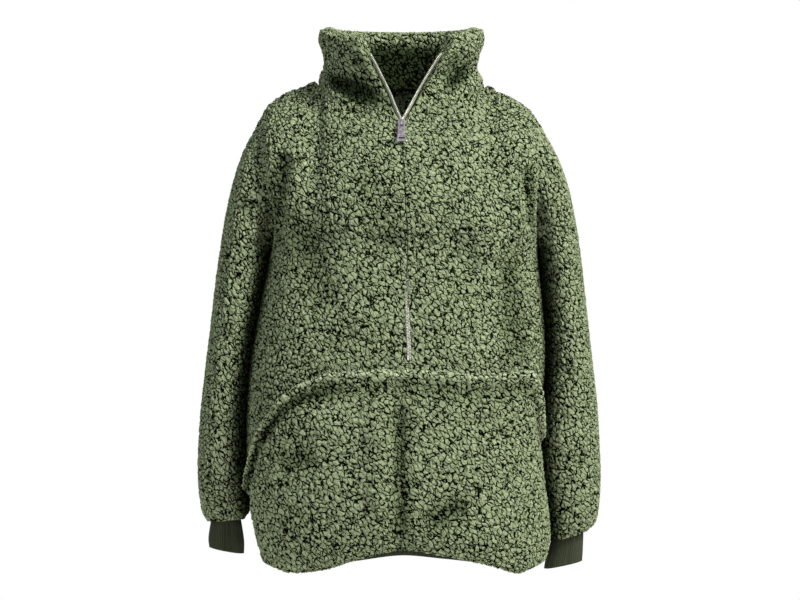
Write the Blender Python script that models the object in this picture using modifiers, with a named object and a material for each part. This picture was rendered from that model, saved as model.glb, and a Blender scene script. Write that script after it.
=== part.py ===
"""Half-zip sherpa pullover: the cut pieces as walls of their real thickness, and its zip.

The garment is filled out as if worn, with nobody in it. +Z is up and the front faces -Y. The
origin is the centre of the neck's base, where the wearer's shoulders carry the garment. Left
and right are as seen from the front: left is -X. The tables are in millimetres, +X to the right.
"""

import math
from collections import namedtuple

import bmesh
import bpy
import numpy as np
from mathutils import Matrix, Vector

MM = 0.001
OBJECT_NAME = "sherpa_half_zip_pullover"

# Walls, in millimetres: backing and pile together for the fleece, so the outside is the pile's tips
FLEECE = 7.0
RIB = 2.6
BAND = 4.0
SEAM_GAP = 0.34
POCKET_GAP = 1.0

# How finely each stretch between two table rows is divided
STEPS = 2
CUFF_RINGS = 2

# The body from the hem up to the underarm. Hem is how much of the hem line's rise a row takes.
BodyRow = namedtuple("BodyRow", "z left right front back centre hem")
BODY = [
    BodyRow(-631, -180, 177, -116, 113, 0, 1.0),
    BodyRow(-654, -190, 189, -131, 127, 0, 1.0),
    BodyRow(-624, -201, 199, -147, 139, 0, 0.85),
    BodyRow(-588, -209, 198, -150, 140, 0, 0.5),
    BodyRow(-545, -217, 192, -150, 140, 0, 0.2),
    BodyRow(-502, -219, 188, -148, 139, 0, 0),
    BodyRow(-459, -219, 189, -146, 137, 4, 0),
    BodyRow(-416, -217, 196, -143, 135, 10, 0),
    BodyRow(-372, -213, 199, -138, 133, 15, 0),
    BodyRow(-330, -206, 198, -132, 131, 11, 0),
    BodyRow(-278, -196, 194, -127, 129, 6, 0),
    BodyRow(-224, -184, 188, -123, 127, 4, 0),
]
# How square the body's level sections are: 1 an ellipse, less is squarer
BODY_SQUARE = 0.74
# How sharply the side seams' own line gives way to the panel's below the underarm
SEAM_REACH = 6
ZIP_END_ROW = 8

# The front hem's lower edge, relative to the side's height, across the front
HemRow = namedtuple("HemRow", "across rise")
HEM_LINE = [
    HemRow(0.0, 0),
    HemRow(0.08, -1),
    HemRow(0.24, -12),
    HemRow(0.36, -6),
    HemRow(0.50, 15),
    HemRow(0.62, 6),
    HemRow(0.78, -12),
    HemRow(0.92, -2),
    HemRow(1.0, 0),
]

# Edges of the armholes from the underarm up to the shoulder tip, and the rows between them
ArmRow = namedtuple("ArmRow", "left left_z right right_z front_y back_y rise bulge")
ARMHOLE = [
    ArmRow(-180, -190, 187, -192, -42, 52, 0.20, 7),
    ArmRow(-188, -148, 189, -150, -57, 68, 0.42, 11),
    ArmRow(-195, -108, 190, -110, -52, 62, 0.64, 11),
    ArmRow(-200, -72, 192, -75, -30, 40, 0.84, 6),
]
# How round the shoulders are between chest and seam: 0 straight, 1 a quarter of an ellipse
DOME = 0.7
# Shoulder seams from the tip in to the neck
ShoulderRow = namedtuple("ShoulderRow", "left left_z right right_z y")
SHOULDER = [
    ShoulderRow(-203, -42, 193, -46, 6),
    ShoulderRow(-189, -18, 178, -24, 7),
    ShoulderRow(-168, -2, 158, -10, 8),
    ShoulderRow(-144, 7, 137, 0, 8),
    ShoulderRow(-118, 11, 114, 6, 8),
]
# Neckline: half width, reach to the front and back, and heights at the middle of each
NECK_SIDE_Y = 8.0
NECK_FRONT, NECK_BACK = 92.0, 68.0
NECK_FRONT_Z, NECK_BACK_Z = -50.0, 15.0
NECK_COLUMNS = 6

# Sleeves below the armhole: outer and inner point of each ring, its middle and half depth
SleeveRow = namedtuple("SleeveRow", "outer outer_z inner inner_z y depth")
SLEEVE_LEFT = [
    SleeveRow(-222, -80, -195, -226, 5, 63),
    SleeveRow(-237, -124, -198, -241, 5, 65),
    SleeveRow(-248, -172, -202, -257, 5, 65),
    SleeveRow(-256, -222, -206, -277, 5, 64),
    SleeveRow(-263, -274, -211, -308, 4, 62),
    SleeveRow(-269, -328, -217, -348, 3, 60),
    SleeveRow(-276, -384, -223, -396, 2, 58),
    SleeveRow(-282, -440, -227, -446, 0, 56),
    SleeveRow(-286, -496, -228, -498, -2, 54),
    SleeveRow(-286, -546, -226, -546, -3, 52),
    SleeveRow(-281, -584, -219, -580, -4, 45),
    SleeveRow(-273, -600, -222, -597, -4, 32),
]
SLEEVE_RIGHT = [
    SleeveRow(213, -84, 200, -228, 5, 64),
    SleeveRow(229, -124, 203, -241, 5, 65),
    SleeveRow(240, -172, 205, -257, 5, 65),
    SleeveRow(248, -222, 206, -277, 5, 64),
    SleeveRow(254, -276, 207, -305, 4, 62),
    SleeveRow(260, -330, 208, -345, 3, 60),
    SleeveRow(266, -384, 207, -392, 2, 58),
    SleeveRow(272, -440, 203, -442, 0, 56),
    SleeveRow(275, -496, 200, -496, -2, 54),
    SleeveRow(276, -550, 203, -552, -3, 52),
    SleeveRow(271, -596, 205, -606, -4, 42),
    SleeveRow(258, -613, 203, -628, -4, 34),
]
# Cuffs: the same columns, below the sleeve's last ring
CUFF_LEFT = [SleeveRow(-272, -622, -222, -626, -4, 28), SleeveRow(-271, -636, -222, -645, -4, 28)]
CUFF_RIGHT = [SleeveRow(252, -640, 200, -650, -4, 28), SleeveRow(251, -655, 197, -666, -4, 28)]

# Collar: doubled fleece, rolled over at its top
COLLAR_TOP_X, COLLAR_TOP_Y = 97.0, 73.0
COLLAR_MID_X, COLLAR_MID_Y = -2.0, 5.0
COLLAR_BACK_Z, COLLAR_TIP_Z = 80.0, 63.0
COLLAR_TIP_LEFT, COLLAR_TIP_RIGHT = 239.0, 309.0
CollarRow = namedtuple("CollarRow", "height push thick")
COLLAR = [
    CollarRow(0.0, 0, 18),
    CollarRow(0.22, 1, 19),
    CollarRow(0.45, -1, 19),
    CollarRow(0.70, 2, 21),
    CollarRow(0.90, 4, 22),
]
COLLAR_ROUND_STEPS = 4
# How far the collar's foot leans from the panel's own direction towards level
COLLAR_LEAN = 0.62

# Pocket: its upper edge by the front panel's columns and rows, and its fullness there
PocketColumn = namedtuple("PocketColumn", "column top puff")
POCKET = [
    PocketColumn(1.5, 4.0, 1),
    PocketColumn(2.2, 4.7, 4),
    PocketColumn(3.0, 5.7, 9),
    PocketColumn(3.8, 6.6, 12),
    PocketColumn(4.4, 7.1, 9),
    PocketColumn(5.2, 7.45, 6),
    PocketColumn(7.0, 7.6, 3),
    PocketColumn(8.2, 7.45, 4),
    PocketColumn(10.0, 7.5, 6),
    PocketColumn(10.8, 7.55, 8),
    PocketColumn(11.4, 7.15, 9),
    PocketColumn(12.1, 6.3, 6),
    PocketColumn(13.0, 5.6, 1),
]
POCKET_FOOT, POCKET_ROWS = 1.4, 7
# Its fullness, greatest from this share of its height up
POCKET_FULL, POCKET_BELLY = 13.0, 0.75

# Largest folds: soft troughs (minus) and ridges (plus), from one place to another
Fold = namedtuple("Fold", "side x0 z0 x1 z1 width depth")
FRONT, BACK = -1, 1
# How a fold dies away: its share left at the ends, and how fast it stops where the cloth turns away
FOLD_END, FOLD_TURN = 0.25, 1.6
FOLDS = [
    Fold(FRONT, -8, -405, -4, -635, 17, -11),
    Fold(FRONT, -34, -430, -30, -600, 20, 5),
    Fold(FRONT, 24, -600, 90, -560, 22, -9),
    Fold(FRONT, 105, -170, 118, -250, 24, 6),
    Fold(FRONT, 138, -195, 160, -400, 22, -8),
    Fold(FRONT, -150, -150, -100, -330, 26, -6),
    Fold(FRONT, -60, -95, -20, -250, 26, -4),
    Fold(FRONT, -162, -80, -174, -155, 13, -8),
    Fold(FRONT, -174, -150, -190, -232, 13, -8),
    Fold(FRONT, -175, -525, -110, -500, 24, -6),
    Fold(BACK, -95, -140, -60, -420, 30, -8),
    Fold(BACK, 90, -160, 120, -480, 30, -8),
    Fold(BACK, 10, -260, 0, -600, 34, -6),
    Fold(BACK, -150, -420, -120, -620, 26, 6),
]

# Hem band: how far each ring is tucked in, how it follows the hem line, and its lift
BandRow = namedtuple("BandRow", "tuck follow lift")
BAND_ROWS = [BandRow(0.0, 1.0, 5), BandRow(0.5, 0.8, -7), BandRow(3.0, 0.5, -20)]
BAND_CLEAR = 0.6
CUFF_INSET, CUFF_GAP = 5.0, 0.7

# Zip: half width of the closed teeth and of the slit, depth below the pile, and the tape behind
TEETH_HALF, SLIT_HALF, ZIP_CLEAR = 2.7, 3.3, 0.2
TEETH_SINK, TEETH_FOOT = 2.6, 1.6
TAPE_WIDE, TAPE_THICK, TAPE_CLEAR = 5.0, 1.0, 2.6
TAPE_LIP = 0.2
EDGE_WIDE, EDGE_TAPE, EDGE_CLEAR = 6.8, 4.4, 3.4
EDGE_FACE, EDGE_STEP, EDGE_BACK = 2.0, 0.6, -0.5
STOP_ROOM, STOP_SIZE, STOP_DEPTH = 5.0, (5.2, 4.0, 5.0), 4.6

# Slider: its face sits in front of the teeth; the tab swings on the loop's middle
SLIDER_WIDE, SLIDER_LONG, SLIDER_THICK = 10.5, 14.0, 3.0
SLIDER_DROP, SLIDER_OUT = 0.6, 2.8
AXIS_ALONG, AXIS_OUT = 3.4, 6.2
BAIL_RADIUS, BAIL_THICK, BAIL_WIDE, BAIL_LEG, BAIL_STEPS = 2.3, 1.2, 2.0, 2.6, 8
TAB_TOP_WIDE, TAB_WIDE, TAB_LONG, TAB_ABOVE, TAB_THICK = 10.0, 15.0, 31.0, 1.0, 1.6
# Its corners: cut off at the head and the heel, flaring from this share of its length down
TAB_HEAD, TAB_HEEL, TAB_FLARE = 1.0, 1.8, 0.55
EYE, EYE_Y = (3.6, 3.4), -2.45
SLOT, SLOT_Y = (8.0, 3.0), -25.0


def smooth(x):
    """Eases from 0 to 1 as x does."""
    x = np.clip(x, 0.0, 1.0)
    return x * x * (3.0 - 2.0 * x)


def through(rows, steps, axis=0, first=None, last=None):
    """A smooth surface through given rows, each stretch divided into steps.

    The rows before the first and after the last one set how it leaves them: straight on if not given.
    """
    rows = np.moveaxis(np.asarray(rows, float), axis, 0)
    first = 2.0 * rows[0] - rows[1] if first is None else first
    last = 2.0 * rows[-1] - rows[-2] if last is None else last
    p = np.concatenate([[first], rows, [last]])
    out = []
    for i in range(1, len(p) - 2):
        a, b, c, d = p[i - 1], p[i], p[i + 1], p[i + 2]
        for k in range(steps):
            t = k / steps
            out.append(
                0.5 * (2 * b + (c - a) * t + (2 * a - 5 * b + 4 * c - d) * t ** 2
                       + (3 * b - a - 3 * c + d) * t ** 3)
            )
    out.append(p[-2])
    return np.moveaxis(np.array(out), 0, axis)


UP, RIGHT = np.array([0.0, 0.0, 1.0]), np.array([1.0, 0.0, 0.0])


def columns_of(rows):
    """A table's columns as arrays, by name."""
    return {name: np.array([getattr(r, name) for r in rows], float) for name in rows[0]._fields}


def neck_point(angle):
    """A point of the neckline, by angle seen from above: 0 right, 90 back, 180 left, 270 front."""
    a = math.radians(angle)
    left, right = SHOULDER[-1].left, SHOULDER[-1].right
    half, middle = (right - left) / 2.0, (right + left) / 2.0
    share = 0.5 + 0.5 * math.cos(a)
    side_z = SHOULDER[-1].left_z * (1 - share) + SHOULDER[-1].right_z * share
    reach = math.sin(a)
    if reach < 0:
        y = NECK_SIDE_Y + NECK_FRONT * reach
        z = side_z + (NECK_FRONT_Z - side_z) * (-reach) ** 1.6
    else:
        y = NECK_SIDE_Y + NECK_BACK * reach
        z = side_z + (NECK_BACK_Z - side_z) * reach
    return [middle + half * math.cos(a), y, z]


def top_row(side):
    """Shoulder seam, neckline, shoulder seam of the front (-1) or the back (+1)."""
    left = [[r.left, r.y, r.left_z] for r in SHOULDER]
    right = [[r.right, r.y, r.right_z] for r in reversed(SHOULDER)]
    turn = [180.0 - side * 180.0 * k / NECK_COLUMNS for k in range(1, NECK_COLUMNS)]
    return np.array(left + [neck_point(a) for a in turn] + right)


def body_row(row, side, count):
    """One level section of the body, from the left side seam to the right one."""
    share = np.linspace(0.0, 1.0, count)
    angle = math.pi * share
    half, middle = (row.right - row.left) / 2.0, (row.right + row.left) / 2.0
    x = middle - half * np.sign(np.cos(angle)) * np.abs(np.cos(angle)) ** BODY_SQUARE
    x = x + row.centre * np.sin(angle) ** 2
    depth = row.front if side == FRONT else row.back
    y = depth * np.sin(angle).clip(0) ** BODY_SQUARE
    hem = np.interp(share, *columns_of(HEM_LINE).values()) if side == FRONT else 0.0
    return np.stack([x, y, row.z + row.hem * hem + 0.0 * x], axis=1)


def body_controls(side):
    """The rows of the front or back panel, hem to shoulder, as control points."""
    top = top_row(side)
    rows = [body_row(r, side, len(top)) for r in BODY]
    across = np.linspace(0.0, 1.0, len(top))[:, None]
    chest = rows[-1]
    shoulder = smooth(np.abs(2.0 * across[:, 0] - 1.0) * 1.5 - 0.35)
    for arm in ARMHOLE:
        dome = 1.0 - math.sqrt(1.0 - arm.rise ** 2)
        lean = arm.rise + (dome - arm.rise) * DOME * shoulder
        row = chest * (1 - arm.rise) + top * arm.rise
        row[:, 1] = chest[:, 1] * (1 - lean) + top[:, 1] * lean
        row[:, 1] += side * arm.bulge * np.sin(math.pi * across[:, 0])
        y = arm.front_y if side == FRONT else arm.back_y
        left = np.array([arm.left, y, arm.left_z]) - row[0]
        right = np.array([arm.right, y, arm.right_z]) - row[-1]
        rows.append(row + left * (1 - across) ** 3 + right * across ** 3)
    return np.array(rows + [top])


def panel(side, steps):
    """The front or back panel's points, rows from hem to shoulder."""
    rows = body_controls(side)
    under = len(BODY) - 1
    straight = 2.0 * rows[under] - rows[under - 1]
    seam = np.abs(np.linspace(-1.0, 1.0, rows.shape[1]))[:, None] ** SEAM_REACH
    beyond = rows[under + 1] * (1 - seam) + straight * seam
    low = through(rows[: under + 1], steps, last=beyond)
    high = through(rows[under:], steps, first=rows[under - 1])
    return through(np.concatenate([low[:-1], high]), steps, 1)


def sew(front, back, steps):
    """Brings the two panels' side and shoulder seams onto one line each."""
    under = (len(BODY) - 1) * steps + 1
    shoulder = (len(SHOULDER) - 1) * steps + 1
    seams = [
        np.s_[:under, 0],
        np.s_[:under, -1],
        np.s_[-1, :shoulder],
        np.s_[-1, -shoulder:],
    ]
    for seam in seams:
        front[seam] = back[seam] = (front[seam] + back[seam]) / 2.0


def ring(row, angles):
    """An oval ring of a sleeve or cuff: angle 0 outside, 90 in front."""
    outer, inner = np.array([row.outer, row.y, row.outer_z]), np.array([row.inner, row.y, row.inner_z])
    middle, reach = (outer + inner) / 2.0, (outer - inner) / 2.0
    front = np.array([0.0, -row.depth, 0.0])
    return middle + np.cos(angles)[:, None] * reach + np.sin(angles)[:, None] * front


def sleeve(edge, table, steps):
    """A sleeve's rings from the armhole's edge down; the edge starts at the shoulder tip."""
    angles = np.linspace(0.0, 2.0 * math.pi, len(edge), endpoint=False)
    rings = [edge] + [ring(r, angles) for r in table]
    return through(rings, steps, 0)


def armhole_edge(front, back, column, steps):
    """The closed edge round an armhole: tip, down the front, underarm, up the back."""
    under = (len(BODY) - 1) * steps
    down = front[under:, column][::-1]
    up = back[under:, column]
    return np.concatenate([down[:-1], up[:-1]])


def grid_faces(rows, columns, wrap, flip):
    """Quads over a grid of points whose rows may close on themselves."""
    i = np.arange(rows - 1)[:, None]
    j = np.arange(columns if wrap else columns - 1)[None, :]
    k = (j + 1) % columns
    quads = np.stack([i * columns + j, i * columns + k, (i + 1) * columns + k, (i + 1) * columns + j], -1)
    quads = quads.reshape(-1, 4)
    return quads[:, ::-1] if flip else quads


class Sheet:
    """One cut piece: its outer points, its faces, and the direction each point faces."""

    def __init__(self, points, wrap, flip):
        rows, columns = points.shape[:2]
        self.points = points.reshape(-1, 3)
        self.grid = np.arange(rows * columns).reshape(rows, columns)
        self.faces = grid_faces(rows, columns, wrap, flip)
        self.normals = None

    def face_sums(self):
        """The sum of the face directions at each point, by area."""
        p = self.points[self.faces]
        n = np.cross(p[:, 2] - p[:, 0], p[:, 3] - p[:, 1])
        total = np.zeros_like(self.points)
        for k in range(4):
            np.add.at(total, self.faces[:, k], n)
        return total


def share_normals(sheets):
    """Gives points that meet at a seam one direction, so walls meet in a mitre."""
    points = np.concatenate([s.points for s in sheets])
    sums = np.concatenate([s.face_sums() for s in sheets])
    _, same = np.unique(np.round(points, 3), axis=0, return_inverse=True)
    same = same.reshape(-1)
    total = np.zeros((same.max() + 1, 3))
    np.add.at(total, same, sums)
    n = total[same]
    n /= np.maximum(np.linalg.norm(n, axis=1), 1e-9)[:, None]
    start = 0
    for s in sheets:
        s.normals = n[start:start + len(s.points)]
        start += len(s.points)


def fold_depth(points, normals):
    """How far the folds move each point along its direction."""
    x, y, z = points.T
    move = np.zeros(len(points))
    for f in FOLDS:
        dx, dz = f.x1 - f.x0, f.z1 - f.z0
        along = ((x - f.x0) * dx + (z - f.z0) * dz) / (dx * dx + dz * dz)
        t = np.clip(along, 0.0, 1.0)
        away = np.hypot(x - f.x0 - t * dx, z - f.z0 - t * dz)
        ends = FOLD_END + (1 - FOLD_END) * smooth(np.minimum(t, 1 - t) * 4.0)
        facing = smooth(f.side * normals[:, 1] * FOLD_TURN)
        move += f.depth * np.exp(-((away / f.width) ** 2)) * ends * facing
    return move


def boundary(faces):
    """The edges used by one face, in that face's direction."""
    edges = np.concatenate([faces[:, [k, (k + 1) % 4]] for k in range(4)])
    edges = edges[edges[:, 0] != edges[:, 1]]
    seen = set(map(tuple, edges))
    return np.array([e for e in edges if (e[1], e[0]) not in seen])


def drawn_in(sheet, edges, amount):
    """The outer points with their free edges drawn in along the cloth by amount."""
    pull = np.zeros_like(sheet.points)
    for a, b in edges:
        way = np.cross(sheet.normals[a] + sheet.normals[b], sheet.points[b] - sheet.points[a])
        way /= np.linalg.norm(way)
        pull[a] += way
        pull[b] += way
    size = np.linalg.norm(pull, axis=1)[:, None]
    return sheet.points + np.where(size > 0, pull / np.maximum(size, 1e-9), 0.0) * amount


def walled(sheet, thick, gap=SEAM_GAP):
    """A closed wall: the sheet outside, a copy moved in by its thickness, and the rims between."""
    edges = boundary(sheet.faces)
    outer = drawn_in(sheet, edges, gap / 2.0)
    inner = outer - sheet.normals * np.asarray(thick).reshape(-1, 1)
    count = len(outer)
    faces = [list(map(int, dict.fromkeys(f))) for f in sheet.faces]
    faces += [[count + v for v in reversed(f)] for f in faces]
    for a, b in edges.tolist():
        faces += rim_faces(sheet.points, a, b, count)
    return np.concatenate([outer, inner]), faces


def rim_faces(points, a, b, count):
    """Two triangles on a rim, cut the same way on both sides of a seam."""
    if tuple(np.round(points[a], 2)) < tuple(np.round(points[b], 2)):
        return [[b, a, count + a], [b, count + a, count + b]]
    return [[b, a, count + b], [a, count + a, count + b]]


def add_piece(name, points, faces, collection, material):
    """Makes a named object from points in millimetres."""
    bm = bmesh.new()
    verts = [bm.verts.new(p * MM) for p in points]
    for f in faces:
        bm.faces.new([verts[i] for i in f])
    loose = [v for v in bm.verts if not v.link_faces]
    bmesh.ops.delete(bm, geom=loose, context="VERTS")
    bmesh.ops.recalc_face_normals(bm, faces=bm.faces)
    bmesh.ops.triangulate(bm, faces=bm.faces, quad_method="SHORT_EDGE")
    mesh = bpy.data.meshes.new(name)
    bm.to_mesh(mesh)
    bm.free()
    mesh.shade_smooth()
    mesh.set_sharp_from_angle(angle=math.radians(50))
    mesh.materials.append(material)
    obj = bpy.data.objects.new(name, mesh)
    collection.objects.link(obj)
    return obj


def make_material(name, color, roughness, metallic):
    """A Principled material of one colour."""
    mat = bpy.data.materials.new(name)
    mat.use_nodes = True
    bsdf = mat.node_tree.nodes["Principled BSDF"]
    bsdf.inputs["Base Color"].default_value = (*color, 1.0)
    bsdf.inputs["Roughness"].default_value = roughness
    bsdf.inputs["Metallic"].default_value = metallic
    return mat


def slit_front(points, steps):
    """The front panel's faces with its slit: the middle column is doubled above the zip's end."""
    columns = points.shape[1]
    middle = (columns - 1) // 2
    end = ZIP_END_ROW * steps
    left, right = points[:, : middle + 1].copy(), points[:, middle:].copy()
    left[end:, -1, 0] -= SLIT_HALF
    right[end:, 0, 0] += SLIT_HALF
    sheet = Sheet(np.concatenate([left, right], axis=1), False, False)
    sheet.faces = sheet.faces[sheet.faces[:, 0] % (columns + 1) != middle]
    sheet.grid[:end, middle + 1] = sheet.grid[:end, middle]
    sheet.faces = sheet.grid.reshape(-1)[sheet.faces]
    return sheet


def neck_edge(front, back, steps):
    """The neckline's points and directions, from the slit's left edge round the back to its right."""
    wide, across = front.grid.shape[1], back.grid.shape[1]
    middle, shoulder = (wide - 2) // 2, (len(SHOULDER) - 1) * steps
    order = [
        (front, range(middle, shoulder - 1, -1)),
        (back, range(shoulder + 1, across - shoulder - 1)),
        (front, range(wide - shoulder - 1, middle, -1)),
    ]
    picked = [(sheet, sheet.grid[-1][k]) for sheet, places in order for k in places]
    points = np.array([sheet.points[k] for sheet, k in picked])
    return points, np.array([sheet.normals[k] for sheet, k in picked])


def collar_loop(base, out, share):
    """The collar's section at a share of the way round: up its outside, over, down its inside."""
    turn = math.radians(COLLAR_TIP_LEFT - share * (COLLAR_TIP_LEFT + 360.0 - COLLAR_TIP_RIGHT))
    away = np.array([math.cos(turn), math.sin(turn), 0.0])
    ahead = smooth(max(0.0, -away[1]) * 1.1)
    top = np.array([
        COLLAR_MID_X + COLLAR_TOP_X * away[0],
        COLLAR_MID_Y + COLLAR_TOP_Y * away[1],
        COLLAR_BACK_Z + (COLLAR_TIP_Z - COLLAR_BACK_Z) * ahead,
    ])
    if share in (0.0, 1.0):
        out = out * [0, 1, 1]
    foot = math.radians(270.0 - share * 360.0)
    out = out * (1 - COLLAR_LEAN) + np.array([math.cos(foot), math.sin(foot), 0.0]) * COLLAR_LEAN
    out /= np.linalg.norm(out)
    start = base - out * COLLAR[0].thick / 2.0
    outer, inner = [], []
    for row in COLLAR:
        mix = out + (away - out) * smooth(row.height * 2.0)
        mix /= np.linalg.norm(mix)
        centre = start * (1 - row.height) + top * row.height + away * row.push
        outer.append(centre + mix * row.thick / 2.0)
        inner.append(centre - mix * row.thick / 2.0)
    reach = COLLAR[-1].thick / 2.0
    over = []
    for k in range(1, COLLAR_ROUND_STEPS):
        a = math.pi * k / COLLAR_ROUND_STEPS
        over.append(top + away * (COLLAR[-1].push + reach * math.cos(a)) + UP * reach * math.sin(a))
    loop = np.array(outer + over + inner[::-1])
    for end, beside in ((0, 1), (-1, -2)):
        way = loop[beside] - loop[end]
        loop[end] += way / np.linalg.norm(way) * SEAM_GAP
    return loop


def collar_loops(front, back, steps):
    """The collar's sections from the left edge of its opening round the back to the right edge."""
    points, normals = neck_edge(front, back, steps)
    last = len(points) - 1
    return np.array([collar_loop(p, n, k / last) for k, (p, n) in enumerate(zip(points, normals))])


def cuff_rings(sleeve_sheet, table):
    """A cuff's outer rings, which start inside the sleeve's end, just clear of its rim."""
    edge, before = sleeve_sheet.points[sleeve_sheet.grid[-1]], sleeve_sheet.points[sleeve_sheet.grid[-2]]
    way = edge - before
    way /= np.linalg.norm(way, axis=1)[:, None]
    start = edge - sleeve_sheet.normals[sleeve_sheet.grid[-1]] * CUFF_INSET + way * CUFF_GAP
    angles = np.linspace(0.0, 2.0 * math.pi, len(edge), endpoint=False)
    return through([start] + [ring(r, angles) for r in table], CUFF_RINGS, 0)


def band_rings(front, back):
    """The hem band's outer rings: a narrow upright strip just inside the turned-up hem."""
    front_ids = [k for j, k in enumerate(front.grid[0]) if j != front.grid.shape[1] // 2]
    back_ids = back.grid[0][::-1]
    edge = np.concatenate([front.points[front_ids][:-1], back.points[back_ids][:-1]])
    inward = (edge.mean(axis=0) - edge) * [1, 1, 0]
    inward /= np.linalg.norm(inward, axis=1)[:, None]
    rings = []
    for row in BAND_ROWS:
        points = edge + inward * (BAND_CLEAR + row.tuck)
        points[:, 2] = edge[:, 2] * row.follow + BODY[0].z * (1 - row.follow) + row.lift
        rings.append(points)
    return np.array(rings)


def on_grid(sheet, row, column):
    """A sheet's point and direction at a place between its grid's rows and columns."""
    rows, columns = sheet.grid.shape
    r, c = min(row, rows - 1.001), min(column, columns - 1.001)
    i, j = int(r), int(c)
    u, v = r - i, c - j
    ids = sheet.grid[i:i + 2, j:j + 2]
    weights = np.array([[(1 - u) * (1 - v), (1 - u) * v], [u * (1 - v), u * v]])[:, :, None]
    normal = (sheet.normals[ids] * weights).sum(axis=(0, 1))
    return (sheet.points[ids] * weights).sum(axis=(0, 1)), normal / np.linalg.norm(normal)


def pocket_sheet(front, steps):
    """The pocket's outer face, made from the front panel's points and moved out."""
    edge = columns_of(POCKET)
    columns = np.arange(edge["column"][0], edge["column"][-1] + 0.01, 1.0 / steps)
    heights = np.linspace(0.0, 1.0, POCKET_ROWS * steps + 1)
    middle = front.grid.shape[1] // 2 - 1
    points, normals = [], []
    for height in heights:
        for column in columns:
            top = np.interp(column, edge["column"], edge["top"])
            mouth = np.interp(column, edge["column"], edge["puff"])
            row = POCKET_FOOT + (top - POCKET_FOOT) * height
            across = (column - columns[0]) / (columns[-1] - columns[0])
            rise = math.sin(math.pi / 2.0 * min(height / POCKET_BELLY, 1.0))
            full = POCKET_FULL * math.sin(math.pi * across) ** 0.7 * rise
            puff = full * (1 - height ** 3) + mouth * height ** 3
            place = column * steps
            p, n = on_grid(front, row * steps, place + (place > middle))
            points.append(p + n * (POCKET_GAP + puff + FLEECE))
            normals.append(n)
    sheet = Sheet(np.array(points).reshape(len(heights), len(columns), 3), False, False)
    sheet.normals = np.array(normals)
    return sheet


def slit_edge(front, i):
    """The middle of the slit at a row, and the way out of the cloth there."""
    ids = front.grid[i][front.grid.shape[1] // 2 - 1: front.grid.shape[1] // 2 + 1]
    out = front.normals[ids].sum(axis=0)
    return front.points[ids].mean(axis=0), out / np.linalg.norm(out)


def zip_rings(front, loops, side, steps):
    """One side of the zip: teeth as a bead on a tape, up the slit and along the collar's edge."""
    first, last = ZIP_END_ROW * steps, front.grid.shape[0] - 1
    under = FLEECE + TAPE_CLEAR
    rings = []
    for i in range(first, last + 1):
        centre, out = slit_edge(front, i)
        below = i < last - 1
        half = TEETH_HALF if below else TEETH_FOOT
        slit = front.grid.shape[1] // 2 - (side < 0)
        ids = front.grid[i][[slit, slit + side]]
        edge, beside = front.points[ids] - front.normals[ids] * FLEECE
        way = (beside - edge) / np.linalg.norm(beside - edge)
        bead = [(ZIP_CLEAR, TEETH_SINK), (half, TEETH_SINK), (half, under)]
        level = (RIGHT - out * out[0]) * side / math.sqrt(1.0 - out[0] ** 2)
        section = [centre + level * s - out * d for s, d in bead]
        section.append(edge + way * TAPE_WIDE - out * TAPE_CLEAR if below else section[-1] - out * TAPE_LIP)
        section.append(section[-1] - out * TAPE_THICK)
        section.append(centre + level * ZIP_CLEAR - out * (under + TAPE_THICK))
        rings.append(np.array(section))
    rings[0] += (rings[1] - rings[0]) * STOP_ROOM / np.linalg.norm(rings[1][0] - rings[0][0])
    end, near = (loops[0], loops[1]) if side < 0 else (loops[-1], loops[-2])
    for k in range(1, len(COLLAR)):
        outer, inner = end[k], end[-1 - k]
        centre, out = (outer + inner) / 2.0, (outer - inner) / np.linalg.norm(outer - inner)
        away = centre - (near[k] + near[-1 - k]) / 2.0
        away -= out * away.dot(out)
        away /= np.linalg.norm(away)
        section = [
            (EDGE_WIDE, EDGE_FACE), (EDGE_TAPE, EDGE_FACE), (EDGE_TAPE, EDGE_STEP),
            (EDGE_CLEAR, EDGE_STEP), (EDGE_CLEAR, EDGE_BACK), (EDGE_WIDE, EDGE_BACK),
        ]
        rings.append([centre + away * s + out * d for s, d in section])
    return np.array(rings)


def add_sweep(name, rings, collection, material, rungs=False):
    """A closed piece swept through rings of points, its ends flat or closed rung by rung."""
    count, around = rings.shape[:2]
    faces = grid_faces(count, around, True, False).tolist()
    if not rungs:
        faces += [list(range(around))[::-1], [(count - 1) * around + k for k in range(around)]]
    for k in range((around - 1) // 2 if rungs else 0):
        rung = list(dict.fromkeys([k, k + 1, around - 2 - k, around - 1 - k]))
        faces += [rung, [(count - 1) * around + v for v in reversed(rung)]]
    return add_piece(name, rings.reshape(-1, 3), faces, collection, material)


def slider_frame(front, steps):
    """Where the slider sits: its middle, the way down the cloth and the way out of it."""
    last = front.grid.shape[0] - 1
    top, _ = slit_edge(front, last)
    below, _ = slit_edge(front, last - steps)
    out = np.cross(below - top, RIGHT)
    top, down, out = upright_frame(top, out)
    return top + down * SLIDER_DROP, down, out


def upright_frame(place, out):
    """A place on the cloth, the way down and the way out, both with no sideways part."""
    out = out * [0, 1, 1] / np.linalg.norm(out[1:])
    return place, np.cross(RIGHT, out), out


def placed(obj, frame, across, along, out):
    """Puts an object built flat (X across, Y up the zip, Z out) on the slider's frame."""
    middle, down, away = frame
    place = middle + RIGHT * across + down * along + away * out
    turn = Matrix([(RIGHT[k], -down[k], away[k]) for k in range(3)]).to_4x4()
    obj.matrix_world = Matrix.Translation(Vector(place * MM)) @ turn
    return obj


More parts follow.
